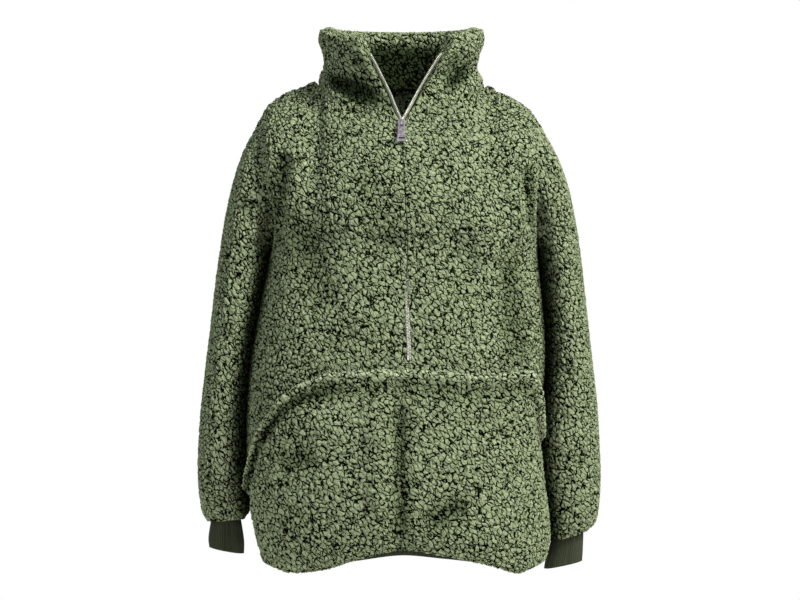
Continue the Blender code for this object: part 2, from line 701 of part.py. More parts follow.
def add_block(name, size, bevel, collection, material):
    """A box with rounded edges, its size in millimetres."""
    bpy.ops.mesh.primitive_cube_add(size=1.0)
    obj = bpy.context.object
    obj.name = obj.data.name = name
    for v in obj.data.vertices:
        v.co = [v.co[k] * size[k] * MM for k in range(3)]
    rounded = obj.modifiers.new("edges", "BEVEL")
    rounded.width, rounded.segments = bevel * MM, 2
    for c in list(obj.users_collection):
        c.objects.unlink(obj)
    collection.objects.link(obj)
    obj.data.materials.append(material)
    return obj


def bail_rings():
    """The slider's loop, from below the slider's face up, over and down again."""
    rings = []
    arc = [math.pi * k / BAIL_STEPS for k in range(BAIL_STEPS + 1)]
    path = [(BAIL_RADIUS, -BAIL_LEG)]
    path += [(BAIL_RADIUS * math.cos(a), BAIL_RADIUS * math.sin(a)) for a in arc]
    path.append((-BAIL_RADIUS, -BAIL_LEG))
    for y, z in path:
        a = math.atan2(max(z, 0.0), y)
        way = np.array([0.0, math.cos(a), math.sin(a)]) * BAIL_THICK / 2.0
        wide = np.array([BAIL_WIDE / 2.0, 0.0, 0.0])
        middle = np.array([0.0, y, z])
        rings.append([middle - wide - way, middle - wide + way, middle + wide + way, middle + wide - way])
    return np.array(rings)


def add_slider(frame, garment, cutters, metal):
    """The slider's body with its loop, in one piece."""
    body = add_block("zip_slider", (SLIDER_WIDE, SLIDER_LONG, SLIDER_THICK), 1.2, garment, metal)
    placed(body, frame, 0.0, 0.0, SLIDER_OUT)
    loop = add_sweep("slider_loop", bail_rings(), cutters, metal)
    placed(loop, frame, 0.0, AXIS_ALONG, AXIS_OUT)
    loop.hide_render = True
    loop.display_type = "WIRE"
    joined = body.modifiers.new("loop", "BOOLEAN")
    joined.operation = "UNION"
    joined.object = loop
    return body


def add_pull_tab(frame, garment, cutters, metal):
    """The pull tab, wider at its foot, with an eye round the slider's loop and a slot below."""
    half_top, half_foot = TAB_TOP_WIDE / 2.0, TAB_WIDE / 2.0
    outline = [
        (-half_top + TAB_HEAD, TAB_ABOVE), (half_top - TAB_HEAD, TAB_ABOVE), (half_top, 0.0),
        (half_top, -TAB_LONG * TAB_FLARE), (half_foot, -TAB_LONG + TAB_HEEL), (half_foot - TAB_HEEL, -TAB_LONG),
        (-half_foot + TAB_HEEL, -TAB_LONG), (-half_foot, -TAB_LONG + TAB_HEEL), (-half_top, -TAB_LONG * TAB_FLARE),
        (-half_top, 0.0),
    ]
    levels = [-TAB_THICK / 2.0, TAB_THICK / 2.0]
    rings = np.array([[(x, y, z) for x, y in outline] for z in levels])
    tab = placed(add_sweep("pull_tab", rings, garment, metal), frame, 0.0, AXIS_ALONG, AXIS_OUT)
    holes = [("tab_eye", EYE, EYE_Y), ("tab_slot", SLOT, SLOT_Y)]
    for name, size, up in holes:
        hole = add_block(name, (*size, 3.0 * TAB_THICK), 0.6, cutters, metal)
        placed(hole, frame, 0.0, AXIS_ALONG - up, AXIS_OUT)
        hole.hide_render = True
        hole.display_type = "WIRE"
        cut = tab.modifiers.new(name, "BOOLEAN")
        cut.operation = "DIFFERENCE"
        cut.object = hole
    return tab


def build_cloth(garment, fleece, rib):
    """Makes the cloth pieces and returns the front's sheet and the collar's sections."""
    front, back = panel(FRONT, STEPS), panel(BACK, STEPS)
    sew(front, back, STEPS)
    sheets = {"front": slit_front(front, STEPS), "back": Sheet(back, False, True)}
    for name, column, table in (("sleeve_left", 0, SLEEVE_LEFT), ("sleeve_right", -1, SLEEVE_RIGHT)):
        points = sleeve(armhole_edge(front, back, column, STEPS), table, STEPS)
        sheets[name] = Sheet(points, True, column == 0)
    share_normals(list(sheets.values()))
    for sheet in sheets.values():
        sheet.points = sheet.points + sheet.normals * fold_depth(sheet.points, sheet.normals)[:, None]
    share_normals(list(sheets.values()))
    for name, sheet in sheets.items():
        add_piece(name, *walled(sheet, FLEECE), garment, fleece)
    loops = collar_loops(sheets["front"], sheets["back"], STEPS)
    add_sweep("collar", loops, garment, fleece, rungs=True)
    pocket = pocket_sheet(sheets["front"], STEPS)
    add_piece("pocket", *walled(pocket, FLEECE), garment, fleece)
    for name, table, flip in (("left", CUFF_LEFT, True), ("right", CUFF_RIGHT, False)):
        cuff = Sheet(cuff_rings(sheets["sleeve_" + name], table), True, flip)
        share_normals([cuff])
        add_piece("cuff_" + name, *walled(cuff, RIB, 0.0), garment, rib)
    band = Sheet(band_rings(sheets["front"], sheets["back"]), True, True)
    share_normals([band])
    add_piece("hem_band", *walled(band, BAND, 0.0), garment, rib)
    return sheets["front"], loops


def build():
    """Makes every piece."""
    for obj in list(bpy.data.objects):
        bpy.data.objects.remove(obj, do_unlink=True)
    garment = bpy.data.collections.new(OBJECT_NAME)
    cutters = bpy.data.collections.new("cutters")
    for collection in (garment, cutters):
        bpy.context.scene.collection.children.link(collection)
    fleece = make_material("sherpa_fleece", (0.115, 0.140, 0.070), 0.95, 0.0)
    rib = make_material("rib_knit", (0.075, 0.100, 0.045), 0.9, 0.0)
    tape = make_material("zip_tape", (0.10, 0.12, 0.07), 0.8, 0.0)
    metal = make_material("zip_metal", (0.55, 0.55, 0.53), 0.3, 1.0)
    front, loops = build_cloth(garment, fleece, rib)
    for name, side in (("zip_left", -1), ("zip_right", 1)):
        add_sweep(name, zip_rings(front, loops, side, STEPS), garment, tape)
    frame = slider_frame(front, STEPS)
    add_slider(frame, garment, cutters, metal)
    add_pull_tab(frame, garment, cutters, metal)
    foot, out = slit_edge(front, ZIP_END_ROW * STEPS)
    stop = add_block("zip_stop", STOP_SIZE, 0.6, garment, metal)
    placed(stop, upright_frame(foot, out), 0.0, -STOP_ROOM / 2.0, -STOP_DEPTH)


build()
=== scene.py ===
"""Half-zip sherpa pullover, filled out as if worn, with nobody in it.

Every cut piece follows the same named sizes as its plain solid, at the pile's own scale: curly
fleece outside, ribs at the wrists and hem, a metal zip with its slider and pull tab. Metres, +Z
up, the chest towards -Y, the origin at the centre of the neck's base. Tables are in millimetres,
and left is -X, as seen from the front.
"""

import logging
import math
from collections import namedtuple
from collections.abc import Callable
from dataclasses import dataclass
from enum import Enum

import bmesh
import bpy
import numpy as np
from mathutils import Matrix, Vector
from mathutils.kdtree import KDTree


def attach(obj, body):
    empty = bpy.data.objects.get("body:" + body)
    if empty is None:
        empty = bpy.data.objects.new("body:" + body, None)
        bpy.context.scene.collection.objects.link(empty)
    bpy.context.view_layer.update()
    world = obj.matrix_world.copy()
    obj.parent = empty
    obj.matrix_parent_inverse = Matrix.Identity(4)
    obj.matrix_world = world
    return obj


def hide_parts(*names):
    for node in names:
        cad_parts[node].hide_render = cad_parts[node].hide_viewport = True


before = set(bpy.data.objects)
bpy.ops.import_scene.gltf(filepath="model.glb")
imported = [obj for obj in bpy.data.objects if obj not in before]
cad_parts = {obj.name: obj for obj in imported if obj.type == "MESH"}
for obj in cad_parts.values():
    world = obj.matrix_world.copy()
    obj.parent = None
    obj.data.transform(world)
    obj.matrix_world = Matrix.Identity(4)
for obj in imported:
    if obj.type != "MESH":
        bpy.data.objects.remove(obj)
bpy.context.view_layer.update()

MM = 0.001
LOG = logging.getLogger("pullover")

# The types that are named most
Array, Piece = np.ndarray, bpy.types.Object
Material, Socket = bpy.types.Material, bpy.types.NodeSocket

# Walls
FLEECE = 7.0
RIB = 2.6
BAND = 4.0

# How finely each stretch between two table rows is divided, and how many of those the lining spans
STEPS = 20
LINING = 5

# The body from the hem up to the underarm. Hem is how much of the hem line's rise a row takes.
BodyRow = namedtuple("BodyRow", "z left right front back centre hem")
BODY = [BodyRow(*row) for row in (
    (-631, -180, 177, -116, 113, 0, 1.0),
    (-654, -190, 189, -131, 127, 0, 1.0),
    (-624, -201, 199, -147, 139, 0, 0.85),
    (-588, -209, 198, -150, 140, 0, 0.5),
    (-545, -217, 192, -150, 140, 0, 0.2),
    (-502, -219, 188, -148, 139, 0, 0),
    (-459, -219, 189, -146, 137, 4, 0),
    (-416, -217, 196, -143, 135, 10, 0),
    (-372, -213, 199, -138, 133, 15, 0),
    (-330, -206, 198, -132, 131, 11, 0),
    (-278, -196, 194, -127, 129, 6, 0),
    (-224, -184, 188, -123, 127, 4, 0),
)]
BODY_SQUARE = 0.74
SEAM_REACH = 6
ZIP_END_ROW = 8

# The front hem's lower edge, relative to the side's height, across the front
HemRow = namedtuple("HemRow", "across rise")
HEM_LINE = [HemRow(*row) for row in (
    (0.0, 0),
    (0.08, -1),
    (0.24, -12),
    (0.36, -3),
    (0.50, 23),
    (0.62, 8),
    (0.78, -12),
    (0.92, -2),
    (1.0, 0),
)]

# Edges of the armholes from the underarm up to the shoulder tip, and the rows between them
ArmRow = namedtuple("ArmRow", "left left_z right right_z front_y back_y rise bulge")
ARMHOLE = [ArmRow(*row) for row in (
    (-180, -190, 187, -192, -42, 52, 0.20, 7),
    (-188, -148, 189, -150, -57, 68, 0.42, 11),
    (-195, -108, 190, -110, -52, 62, 0.64, 11),
    (-200, -72, 192, -75, -30, 40, 0.84, 6),
)]
DOME = 0.7
ShoulderRow = namedtuple("ShoulderRow", "left left_z right right_z y")
SHOULDER = [ShoulderRow(*row) for row in (
    (-203, -42, 193, -46, 6),
    (-189, -18, 178, -24, 7),
    (-168, -2, 158, -10, 8),
    (-144, 7, 137, 0, 8),
    (-118, 11, 114, 6, 8),
)]
NECK_SIDE_Y = 8.0
NECK_FRONT, NECK_BACK = 92.0, 68.0
NECK_FRONT_Z, NECK_BACK_Z = -50.0, 15.0
NECK_COLUMNS = 6

# Sleeves below the armhole: outer and inner point of each ring, its middle and half depth. Their
# inner sides lean on the body by the depth of the pile.
SleeveRow = namedtuple("SleeveRow", "outer outer_z inner inner_z y depth")
SLEEVE_LEFT = [SleeveRow(*row) for row in (
    (-222, -80, -195, -226, 5, 63),
    (-237, -124, -198, -241, 5, 65),
    (-248, -172, -202, -257, 5, 65),
    (-256, -222, -206, -277, 5, 64),
    (-263, -274, -211, -308, 4, 62),
    (-269, -328, -217, -348, 3, 60),
    (-276, -384, -223, -396, 2, 58),
    (-282, -440, -227, -446, 0, 56),
    (-286, -496, -228, -498, -2, 54),
    (-286, -546, -226, -546, -3, 52),
    (-281, -584, -219, -580, -4, 45),
    (-273, -600, -222, -597, -4, 32),
)]
SLEEVE_RIGHT = [SleeveRow(*row) for row in (
    (213, -84, 200, -228, 5, 64),
    (229, -124, 203, -241, 5, 65),
    (240, -172, 205, -257, 5, 65),
    (248, -222, 206, -277, 5, 64),
    (254, -276, 207, -305, 4, 62),
    (260, -330, 208, -345, 3, 60),
    (266, -384, 207, -392, 2, 58),
    (272, -440, 203, -442, 0, 56),
    (275, -496, 200, -496, -2, 54),
    (276, -550, 203, -552, -3, 52),
    (271, -596, 205, -606, -4, 42),
    (258, -613, 203, -628, -4, 34),
)]
SLEEVE_LEAN = 12.5
CUFF_LEFT = [SleeveRow(-272, -622, -222, -626, -4, 28), SleeveRow(-271, -636, -222, -645, -4, 28)]
CUFF_RIGHT = [SleeveRow(252, -640, 200, -650, -4, 28), SleeveRow(251, -655, 197, -666, -4, 28)]

# Collar: doubled fleece, rolled over at its top
COLLAR_TOP_X, COLLAR_TOP_Y = 97.0, 73.0
COLLAR_MID_X, COLLAR_MID_Y = -2.0, 5.0
COLLAR_BACK_Z, COLLAR_TIP_Z = 80.0, 63.0
COLLAR_TIP_LEFT, COLLAR_TIP_RIGHT = 239.0, 309.0
CollarRow = namedtuple("CollarRow", "height push thick")
COLLAR = [CollarRow(*row) for row in (
    (0.0, 0, 18),
    (0.22, 1, 19),
    (0.45, -1, 19),
    (0.70, 2, 21),
    (0.90, 4, 22),
)]
COLLAR_ROUND_STEPS = 6
COLLAR_LEAN = 0.62

# Pocket: its upper edge by the front panel's columns and rows, and its fullness there
PocketColumn = namedtuple("PocketColumn", "column top puff")
POCKET = [PocketColumn(*row) for row in (
    (1.5, 4.0, 1),
    (2.2, 4.7, 4),
    (3.0, 5.7, 9),
    (3.8, 6.6, 12),
    (4.4, 7.1, 9),
    (5.2, 7.45, 6),
    (7.0, 7.6, 3),
    (8.2, 7.45, 4),
    (10.0, 7.5, 6),
    (10.8, 7.55, 8),
    (11.4, 7.15, 9),
    (12.1, 6.3, 6),
    (13.0, 5.6, 1),
)]
POCKET_GAP = 1.0
POCKET_FOOT, POCKET_ROWS = 1.4, 6
POCKET_FULL, POCKET_BELLY = 13.0, 0.75
# How many rows the roll of a free edge has
ROLL_STEPS = 5

# Folds: soft troughs (minus) and ridges (plus), from one place to another
Fold = namedtuple("Fold", "side x0 z0 x1 z1 width depth")
FRONT, BACK = -1, 1
FOLD_END, FOLD_TURN = 0.25, 1.6
# The pile drops deeper into a fold than the plain solid's wall does
FOLDS_DEEPER = 1.35
TROUGH = 20.0
# How much painted shade the bottom of a fold gets, against the darkest painted shade at 1
FOLD_SHADE = 0.62
FOLDS = [Fold(*row) for row in (
    (FRONT, -6, -405, -4, -635, 13, -10),
    (FRONT, -30, -410, -28, -600, 18, 6),
    (FRONT, 24, -600, 90, -560, 22, -8),
    (FRONT, 105, -170, 118, -250, 24, 6),
    (FRONT, 138, -195, 160, -400, 22, -8),
    (FRONT, -150, -150, -100, -330, 26, -6),
    (FRONT, -60, -95, -20, -250, 26, -4),
    (FRONT, -162, -80, -174, -155, 13, -11),
    (FRONT, -174, -150, -190, -232, 13, -11),
    (FRONT, 168, -95, 186, -205, 13, -9),
    (FRONT, -175, -525, -110, -500, 24, -6),
    (FRONT, 60, -120, 100, -330, 18, -3),
    (FRONT, -110, -360, -60, -330, 16, -3),
    (FRONT, 70, -440, 150, -480, 18, -3),
    (FRONT, -150, -440, -80, -470, 16, 3),
    (FRONT, -232, -160, -206, -172, 10, -5),
    (FRONT, -262, -330, -222, -352, 12, -3),
    (FRONT, -272, -470, -228, -458, 12, -3),
    (FRONT, 212, -200, 240, -188, 11, -4),
    (FRONT, 214, -390, 255, -405, 12, -3),
    (FRONT, 222, -520, 262, -508, 12, -3),
    (BACK, -95, -140, -60, -420, 30, -8),
    (BACK, 90, -160, 120, -480, 30, -8),
    (BACK, 10, -260, 0, -600, 34, -6),
    (BACK, -150, -420, -120, -620, 26, 6),
    (BACK, -140, -90, -40, -60, 18, -3),
    (BACK, 40, -70, 130, -110, 18, -3),
    (BACK, -120, -520, 60, -560, 20, -4),
    (BACK, -262, -300, -215, -330, 12, -4),
    (BACK, -270, -440, -225, -452, 12, -4),
    (BACK, 212, -260, 245, -246, 12, -4),
    (BACK, 216, -440, 262, -455, 12, -4),
)]

# Hem band: how far each ring is tucked in, how it follows the hem line, and its lift
BandRow = namedtuple("BandRow", "tuck follow lift")
BAND_ROWS = [BandRow(0.0, 1.0, 5), BandRow(0.5, 0.8, -7), BandRow(3.0, 0.5, -20)]
BAND_CLEAR = 0.6
CUFF_INSET, CUFF_LIFT = 5.0, 4.0

# Zip: the slit is all but closed by the pile at its top and opens towards its lower end
SLIT_TOP, SLIT_FOOT = 0.5, 3.0
# The pile stays full this near the slit, and the painted shade between sleeve and body comes no closer
# than this under the arms
SLIT_FREE, UNDERARM_FREE = 22.0, 30
TEETH_HALF, TEETH_SINK, TEETH_BURIED, TEETH_PITCH = 2.7, 0.4, 3.6, 2.1
TAPE_WIDE, TAPE_SINK, TAPE_THICK = 6.0, 8.6, 1.0
EDGE_WIDE, EDGE_CLEAR, EDGE_FACE, EDGE_SHARE = 6.8, 3.0, 2.2, 0.75
# The closed zip's line takes every fourth row of the front, and stops this short of the neckline
ZIP_STEP, ZIP_SHORT = 4, 6

# How far below the neckline the slider's middle is, and the tab's axis from that middle
SLIDER_DROP = 0.6
AXIS_ALONG, AXIS_OUT = 3.4, 6.2

UP, RIGHT = np.array([0.0, 0.0, 1.0]), np.array([1.0, 0.0, 0.0])


class Slot(Enum):
    """The record's material slots that a piece can be finished in."""

    FLEECE = "sherpa_fleece"
    RIB = "rib_knit"
    TAPE = "zip_tape"
    METAL = "zip_metal"


def smooth(x: Array | float) -> Array:
    """Eases from 0 to 1 as x does."""
    x = np.clip(x, 0.0, 1.0)
    return x * x * (3.0 - 2.0 * x)


def through(
    rows: Array | list,
    steps: int,
    axis: int = 0,
    first: Array | None = None,
    last: Array | None = None,
) -> Array:
    """A smooth surface through given rows.

    Args:
        rows: the given points, along axis.
        steps: how many parts each stretch between two rows is divided into.
        axis: the direction in which the rows follow each other.
        first: the row before the first, which sets how the surface leaves it.
        last: the row after the last.

    Returns:
        The points, with steps times as many stretches along axis.
    """
    rows = np.moveaxis(np.asarray(rows, float), axis, 0)
    first = 2.0 * rows[0] - rows[1] if first is None else first
    last = 2.0 * rows[-1] - rows[-2] if last is None else last
    p = np.concatenate([[first], rows, [last]])
    out = []
    for i in range(1, len(p) - 2):
        a, b, c, d = p[i - 1], p[i], p[i + 1], p[i + 2]
        for k in range(steps):
            t = k / steps
            out.append(
                0.5 * (2 * b + (c - a) * t + (2 * a - 5 * b + 4 * c - d) * t ** 2
                       + (3 * b - a - 3 * c + d) * t ** 3)
            )
    out.append(p[-2])
    return np.moveaxis(np.array(out), 0, axis)


def unit(v: Array) -> Array:
    """The same directions at length 1."""
    return v / np.maximum(np.linalg.norm(v, axis=-1, keepdims=True), 1e-9)


def columns_of(rows: list) -> dict[str, Array]:
    """A table's columns as arrays, by name."""
    return {name: np.array([getattr(r, name) for r in rows], float) for name in rows[0]._fields}


def neck_point(angle: float) -> list[float]:
    """A point of the neckline, by angle seen from above: 0 right, 90 back, 180 left, 270 front.

    Args:
        angle: the place round the neck, in degrees.

    Returns:
        The point.
    """
    a = math.radians(angle)
    left, right = SHOULDER[-1].left, SHOULDER[-1].right
    half, middle = (right - left) / 2.0, (right + left) / 2.0
    share = 0.5 + 0.5 * math.cos(a)
    side_z = SHOULDER[-1].left_z * (1 - share) + SHOULDER[-1].right_z * share
    reach = math.sin(a)
    if reach < 0:
        y = NECK_SIDE_Y + NECK_FRONT * reach
        z = side_z + (NECK_FRONT_Z - side_z) * (-reach) ** 1.6
    else:
        y = NECK_SIDE_Y + NECK_BACK * reach
        z = side_z + (NECK_BACK_Z - side_z) * reach
    return [middle + half * math.cos(a), y, z]


def top_row(side: int) -> Array:
    """Shoulder seam, neckline, shoulder seam of the front (-1) or the back (+1).

    Args:
        side: FRONT or BACK.

    Returns:
        The points of the panel's upper edge, from left to right.
    """
    left = [[r.left, r.y, r.left_z] for r in SHOULDER]
    right = [[r.right, r.y, r.right_z] for r in reversed(SHOULDER)]
    turn = [180.0 - side * 180.0 * k / NECK_COLUMNS for k in range(1, NECK_COLUMNS)]
    return np.array(left + [neck_point(a) for a in turn] + right)


def body_row(row: BodyRow, side: int, count: int) -> Array:
    """One level section of the body, from the left side seam to the right one.

    Args:
        row: the section's sizes.
        side: FRONT or BACK.
        count: how many points it has.

    Returns:
        The points, from left to right.
    """
    share = np.linspace(0.0, 1.0, count)
    angle = math.pi * share
    half, middle = (row.right - row.left) / 2.0, (row.right + row.left) / 2.0
    x = middle - half * np.sign(np.cos(angle)) * np.abs(np.cos(angle)) ** BODY_SQUARE
    x = x + row.centre * np.sin(angle) ** 2
    depth = row.front if side == FRONT else row.back
    y = depth * np.sin(angle).clip(0) ** BODY_SQUARE
    hem = np.interp(share, *columns_of(HEM_LINE).values()) if side == FRONT else 0.0
    return np.stack([x, y, row.z + row.hem * hem + 0.0 * x], axis=1)


def body_controls(side: int) -> Array:
    """The rows of the front or back panel, hem to shoulder, as control points.

    Args:
        side: FRONT or BACK.

    Returns:
        A grid of points, rows by columns.
    """
    top = top_row(side)
    rows = [body_row(r, side, len(top)) for r in BODY]
    across = np.linspace(0.0, 1.0, len(top))[:, None]
    chest = rows[-1]
    shoulder = smooth(np.abs(2.0 * across[:, 0] - 1.0) * 1.5 - 0.35)
    for arm in ARMHOLE:
        dome = 1.0 - math.sqrt(1.0 - arm.rise ** 2)
        lean = arm.rise + (dome - arm.rise) * DOME * shoulder
        row = chest * (1 - arm.rise) + top * arm.rise
        row[:, 1] = chest[:, 1] * (1 - lean) + top[:, 1] * lean
        row[:, 1] += side * arm.bulge * np.sin(math.pi * across[:, 0])
        y = arm.front_y if side == FRONT else arm.back_y
        left = np.array([arm.left, y, arm.left_z]) - row[0]
        right = np.array([arm.right, y, arm.right_z]) - row[-1]
        rows.append(row + left * (1 - across) ** 3 + right * across ** 3)
    return np.array(rows + [top])


def panel(side: int) -> Array:
    """The front or back panel's points, rows from hem to shoulder.

    Args:
        side: FRONT or BACK.

    Returns:
        A fine grid of points, rows by columns.
    """
    rows = body_controls(side)
    under = len(BODY) - 1
    straight = 2.0 * rows[under] - rows[under - 1]
    seam = np.abs(np.linspace(-1.0, 1.0, rows.shape[1]))[:, None] ** SEAM_REACH
    beyond = rows[under + 1] * (1 - seam) + straight * seam
    low = through(rows[: under + 1], STEPS, last=beyond)
    high = through(rows[under:], STEPS, first=rows[under - 1])
    return through(np.concatenate([low[:-1], high]), STEPS, 1)


def sew(front: Array, back: Array) -> None:
    """Brings the two panels' side and shoulder seams onto one line each.

    Args:
        front: the front panel's grid, changed in place.
        back: the back panel's, changed too.
    """
    under = (len(BODY) - 1) * STEPS + 1
    shoulder = (len(SHOULDER) - 1) * STEPS + 1
    for seam in (np.s_[:under, 0], np.s_[:under, -1], np.s_[-1, :shoulder], np.s_[-1, -shoulder:]):
        front[seam] = back[seam] = (front[seam] + back[seam]) / 2.0


def ring(row: SleeveRow, angles: Array) -> Array:
    """An oval ring of a sleeve or cuff: angle 0 outside, 90 in front.

    Args:
        row: the ring's sizes.
        angles: the places round it, in radians.

    Returns:
        The ring's points.
    """
    outer = np.array([row.outer, row.y, row.outer_z])
    inner = np.array([row.inner, row.y, row.inner_z])
    middle, reach = (outer + inner) / 2.0, (outer - inner) / 2.0
    front = np.array([0.0, -row.depth, 0.0])
    return middle + np.cos(angles)[:, None] * reach + np.sin(angles)[:, None] * front


def sleeve(edge: Array, table: list[SleeveRow]) -> Array:
    """A sleeve's rings from the armhole's edge down; the edge starts at the shoulder tip.

    Its inner side leans on the body between its first ring and its last.

    Args:
        edge: the armhole's points.
        table: the rings below it.

    Returns:
        A grid of points, rings by places round.
    """
    angles = np.linspace(0.0, 2.0 * math.pi, len(edge), endpoint=False)
    rings = [ring(r, angles) for r in table]
    inside = ((1.0 - np.cos(angles)) / 2.0) ** 2
    for k, points in enumerate(rings):
        lean = SLEEVE_LEAN * smooth(min(1.0, (len(rings) - 1 - k) / 2.0))
        points[:, 0] += np.sign(table[k].inner - table[k].outer) * lean * inside
    return through([edge] + rings, STEPS, 0)


def armhole_edge(front: Array, back: Array, column: int) -> Array:
    """The closed edge round an armhole: tip, down the front, underarm, up the back.

    Args:
        front: the front panel's grid.
        back: the back panel's grid.
        column: the panels' edge column, 0 left or -1 right.

    Returns:
        The edge's points.
    """
    under = (len(BODY) - 1) * STEPS
    down = front[under:, column][::-1]
    up = back[under:, column]
    return np.concatenate([down[:-1], up[:-1]])


def curled(points: Array, edge_normals: Array, way: Array, radius: float) -> list[Array]:
    """Rows that carry on from a free edge and roll it inwards, a quarter turn.

    Args:
        points: the edge's points.
        edge_normals: the way out of the cloth at each.
        way: the way off the cloth's edge, along the cloth.
        radius: the roll's radius in millimetres.

    Returns:
        The rows, from the edge on.
    """
    rows = []
    for turn in np.arange(1, ROLL_STEPS + 1) / ROLL_STEPS * math.pi / 2.0:
        inward = edge_normals * radius * (1 - math.cos(turn))
        rows.append(points + way * radius * math.sin(turn) - inward)
    return rows


class Cloth:
    """One cut piece's outside as a grid of points, and which of them its lining follows."""

    def __init__(self, points: Array, wrap: bool = False, flip: bool = False) -> None:
        """Keeps the grid, and lets the lining follow every few of its points.

        Args:
            points: the grid, rows by columns by 3.
            wrap: whether its last column meets its first.
            flip: whether its faces turn the other way.
        """

        rows, columns = points.shape[:2]
        self.points = points.reshape(-1, 3).copy()
        self.grid = np.arange(rows * columns).reshape(rows, columns)
        self.wrap, self.flip = wrap, flip
        self.slit, self.rims = None, 0
        self.row_blocks = self.row_base = np.arange(0, rows, LINING)
        self.column_blocks = self.column_base = np.arange(0, columns, LINING)
        self.normals = None

    def slit_down(self, end: int) -> None:
        """Doubles the middle column from row end up, where the slit is.

        Args:
            end: the row at the slit's lower end.
        """
        rows, columns = self.grid.shape
        middle = (columns - 1) // 2
        points = self.points.reshape(rows, columns, 3)
        left, right = points[:, : middle + 1].copy(), points[:, middle:].copy()
        closing = smooth(np.linspace(0.0, 1.0, rows - end) * 4.0 - 0.5)
        half = SLIT_FOOT + (SLIT_TOP - SLIT_FOOT) * closing
        left[end:, -1, 0] -= half
        right[end:, 0, 0] += half
        self.points = np.concatenate([left, right], axis=1).reshape(-1, 3)
        self.grid = np.arange(rows * (columns + 1)).reshape(rows, columns + 1)
        self.grid[:end, middle + 1] = self.grid[:end, middle]
        self.slit = middle
        first = np.arange(0, middle + 1, LINING)
        self.column_blocks = self.column_base = np.concatenate([first, first + middle + 1])

    def quads(self, rows: Array | None = None, columns: Array | None = None) -> Array:
        """The grid's quads between the given rows and columns, all of them if not given.

        Args:
            rows: the rows to span.
            columns: the columns to span.

        Returns:
            Four point numbers for each quad.
        """
        rows = np.arange(self.grid.shape[0]) if rows is None else rows
        columns = np.arange(self.grid.shape[1]) if columns is None else columns
        after = np.append(columns[1:], columns[0]) if self.wrap else columns[1:]
        before = columns if self.wrap else columns[:-1]
        keep = before != self.slit if self.slit is not None else np.ones(len(before), bool)
        low, high = rows[:-1, None], rows[1:, None]
        b, a = before[keep][None], after[keep][None]
        q = np.stack([self.grid[low, b], self.grid[low, a], self.grid[high, a], self.grid[high, b]], -1)
        q = q.reshape(-1, 4)
        return q[:, ::-1] if self.flip else q

    def face_sums(self) -> Array:
        """The sum of the face directions at each point, by area.

        Returns:
            One direction for each point, not yet of length 1.
        """
        q = self.quads()
        p = self.points[q]
        n = np.cross(p[:, 2] - p[:, 0], p[:, 3] - p[:, 1])
        total = np.zeros_like(self.points)
        for k in range(4):
            np.add.at(total, q[:, k], n)
        return total

    def chain(self, i0: int, j0: int, i1: int, j1: int) -> Array:
        """The fine points from one corner of the lining's blocks to the next, in order.

        Args:
            i0: the first corner's row of blocks.
            j0: its column of blocks.
            i1: the second corner's row.
            j1: its column.

        Returns:
            The numbers of the points, both corners among them.
        """
        r0, r1 = self.row_blocks[i0], self.row_blocks[i1]
        count = len(self.column_blocks)
        c0, c1 = self.column_blocks[j0 % count], self.column_blocks[j1 % count]
        if i0 == i1:
            if self.wrap and abs(j1 - j0) == 1 and max(j0, j1) == count:
                span = np.append(np.arange(self.column_blocks[-1], self.grid.shape[1]), 0)
                ids = self.grid[r0, span]
                return ids if j1 > j0 else ids[::-1]
            step = 1 if c1 > c0 else -1
            return self.grid[r0, np.arange(c0, c1 + step, step)]
        step = 1 if r1 > r0 else -1
        return self.grid[np.arange(r0, r1 + step, step), c0]

    def walled(self, thick: float, outer: Array | None = None) -> tuple[Array, list, Array]:
        """A closed wall: the fine outside, a coarser lining, and the rims between.

        Args:
            thick: the wall's thickness in millimetres.
            outer: the outside's points, where they differ from the ones that the lining follows.

        Returns:
            Points, faces, and which points are the lining's.
        """
        outer = self.points if outer is None else outer
        base = self.grid[self.row_base][:, self.column_base]
        used, place = np.unique(base, return_inverse=True)
        inner = self.points[used] - self.normals[used] * thick
        place = place.reshape(base.shape) + len(outer)
        faces = [tuple(dict.fromkeys(q)) for q in self.quads().tolist()]
        edges = {}
        count_r, count_c = base.shape
        for i in range(count_r - 1):
            for j in range(count_c if self.wrap else count_c - 1):
                if self.slit is not None and self.column_base[j] == self.slit:
                    continue
                corners = [(i, j), (i, j + 1), (i + 1, j + 1), (i + 1, j)]
                corners = corners[::-1] if self.flip else corners
                ids = [int(place[a, b % count_c]) for a, b in corners]
                faces.append(tuple(dict.fromkeys(reversed(ids))))
                for k in range(4):
                    a, b = corners[k], corners[(k + 1) % 4]
                    pair = (ids[k], ids[(k + 1) % 4])
                    if pair[0] == pair[1]:
                        continue
                    if (pair[1], pair[0]) in edges:
                        del edges[(pair[1], pair[0])]
                    else:
                        edges[pair] = (a, b)
        for (start, end), (a, b) in edges.items():
            fine = self.chain(*a, *b)[::-1].tolist()
            faces.append(tuple(fine) + (start, end))
        self.rims = len(edges)
        lining = np.concatenate([np.zeros(len(outer), bool), np.ones(len(inner), bool)])
        return np.concatenate([outer, inner]), faces, lining

    def ways_out(self, like: Array) -> Array:
        """The directions of the outside's own faces, turned to the same side as the given ones.

        Args:
            like: directions that point roughly outwards.

        Returns:
            A direction of length 1 for each point.
        """
        n = unit(self.face_sums())
        return n if (n * like.reshape(-1, 3)).sum() > 0 else -n

    def edge_points(self) -> Array:
        """The points of the outside's free edges and seams.

        Returns:
            The numbers of those points.
        """
        q = self.quads()
        pairs = np.concatenate([q[:, [k, (k + 1) % 4]] for k in range(4)])
        pairs = pairs[pairs[:, 0] != pairs[:, 1]]
        low, high = pairs.min(axis=1), pairs.max(axis=1)
        keys = low * len(self.points) + high
        _, first, count = np.unique(keys, return_index=True, return_counts=True)
        return np.unique(pairs[first[count == 1]])


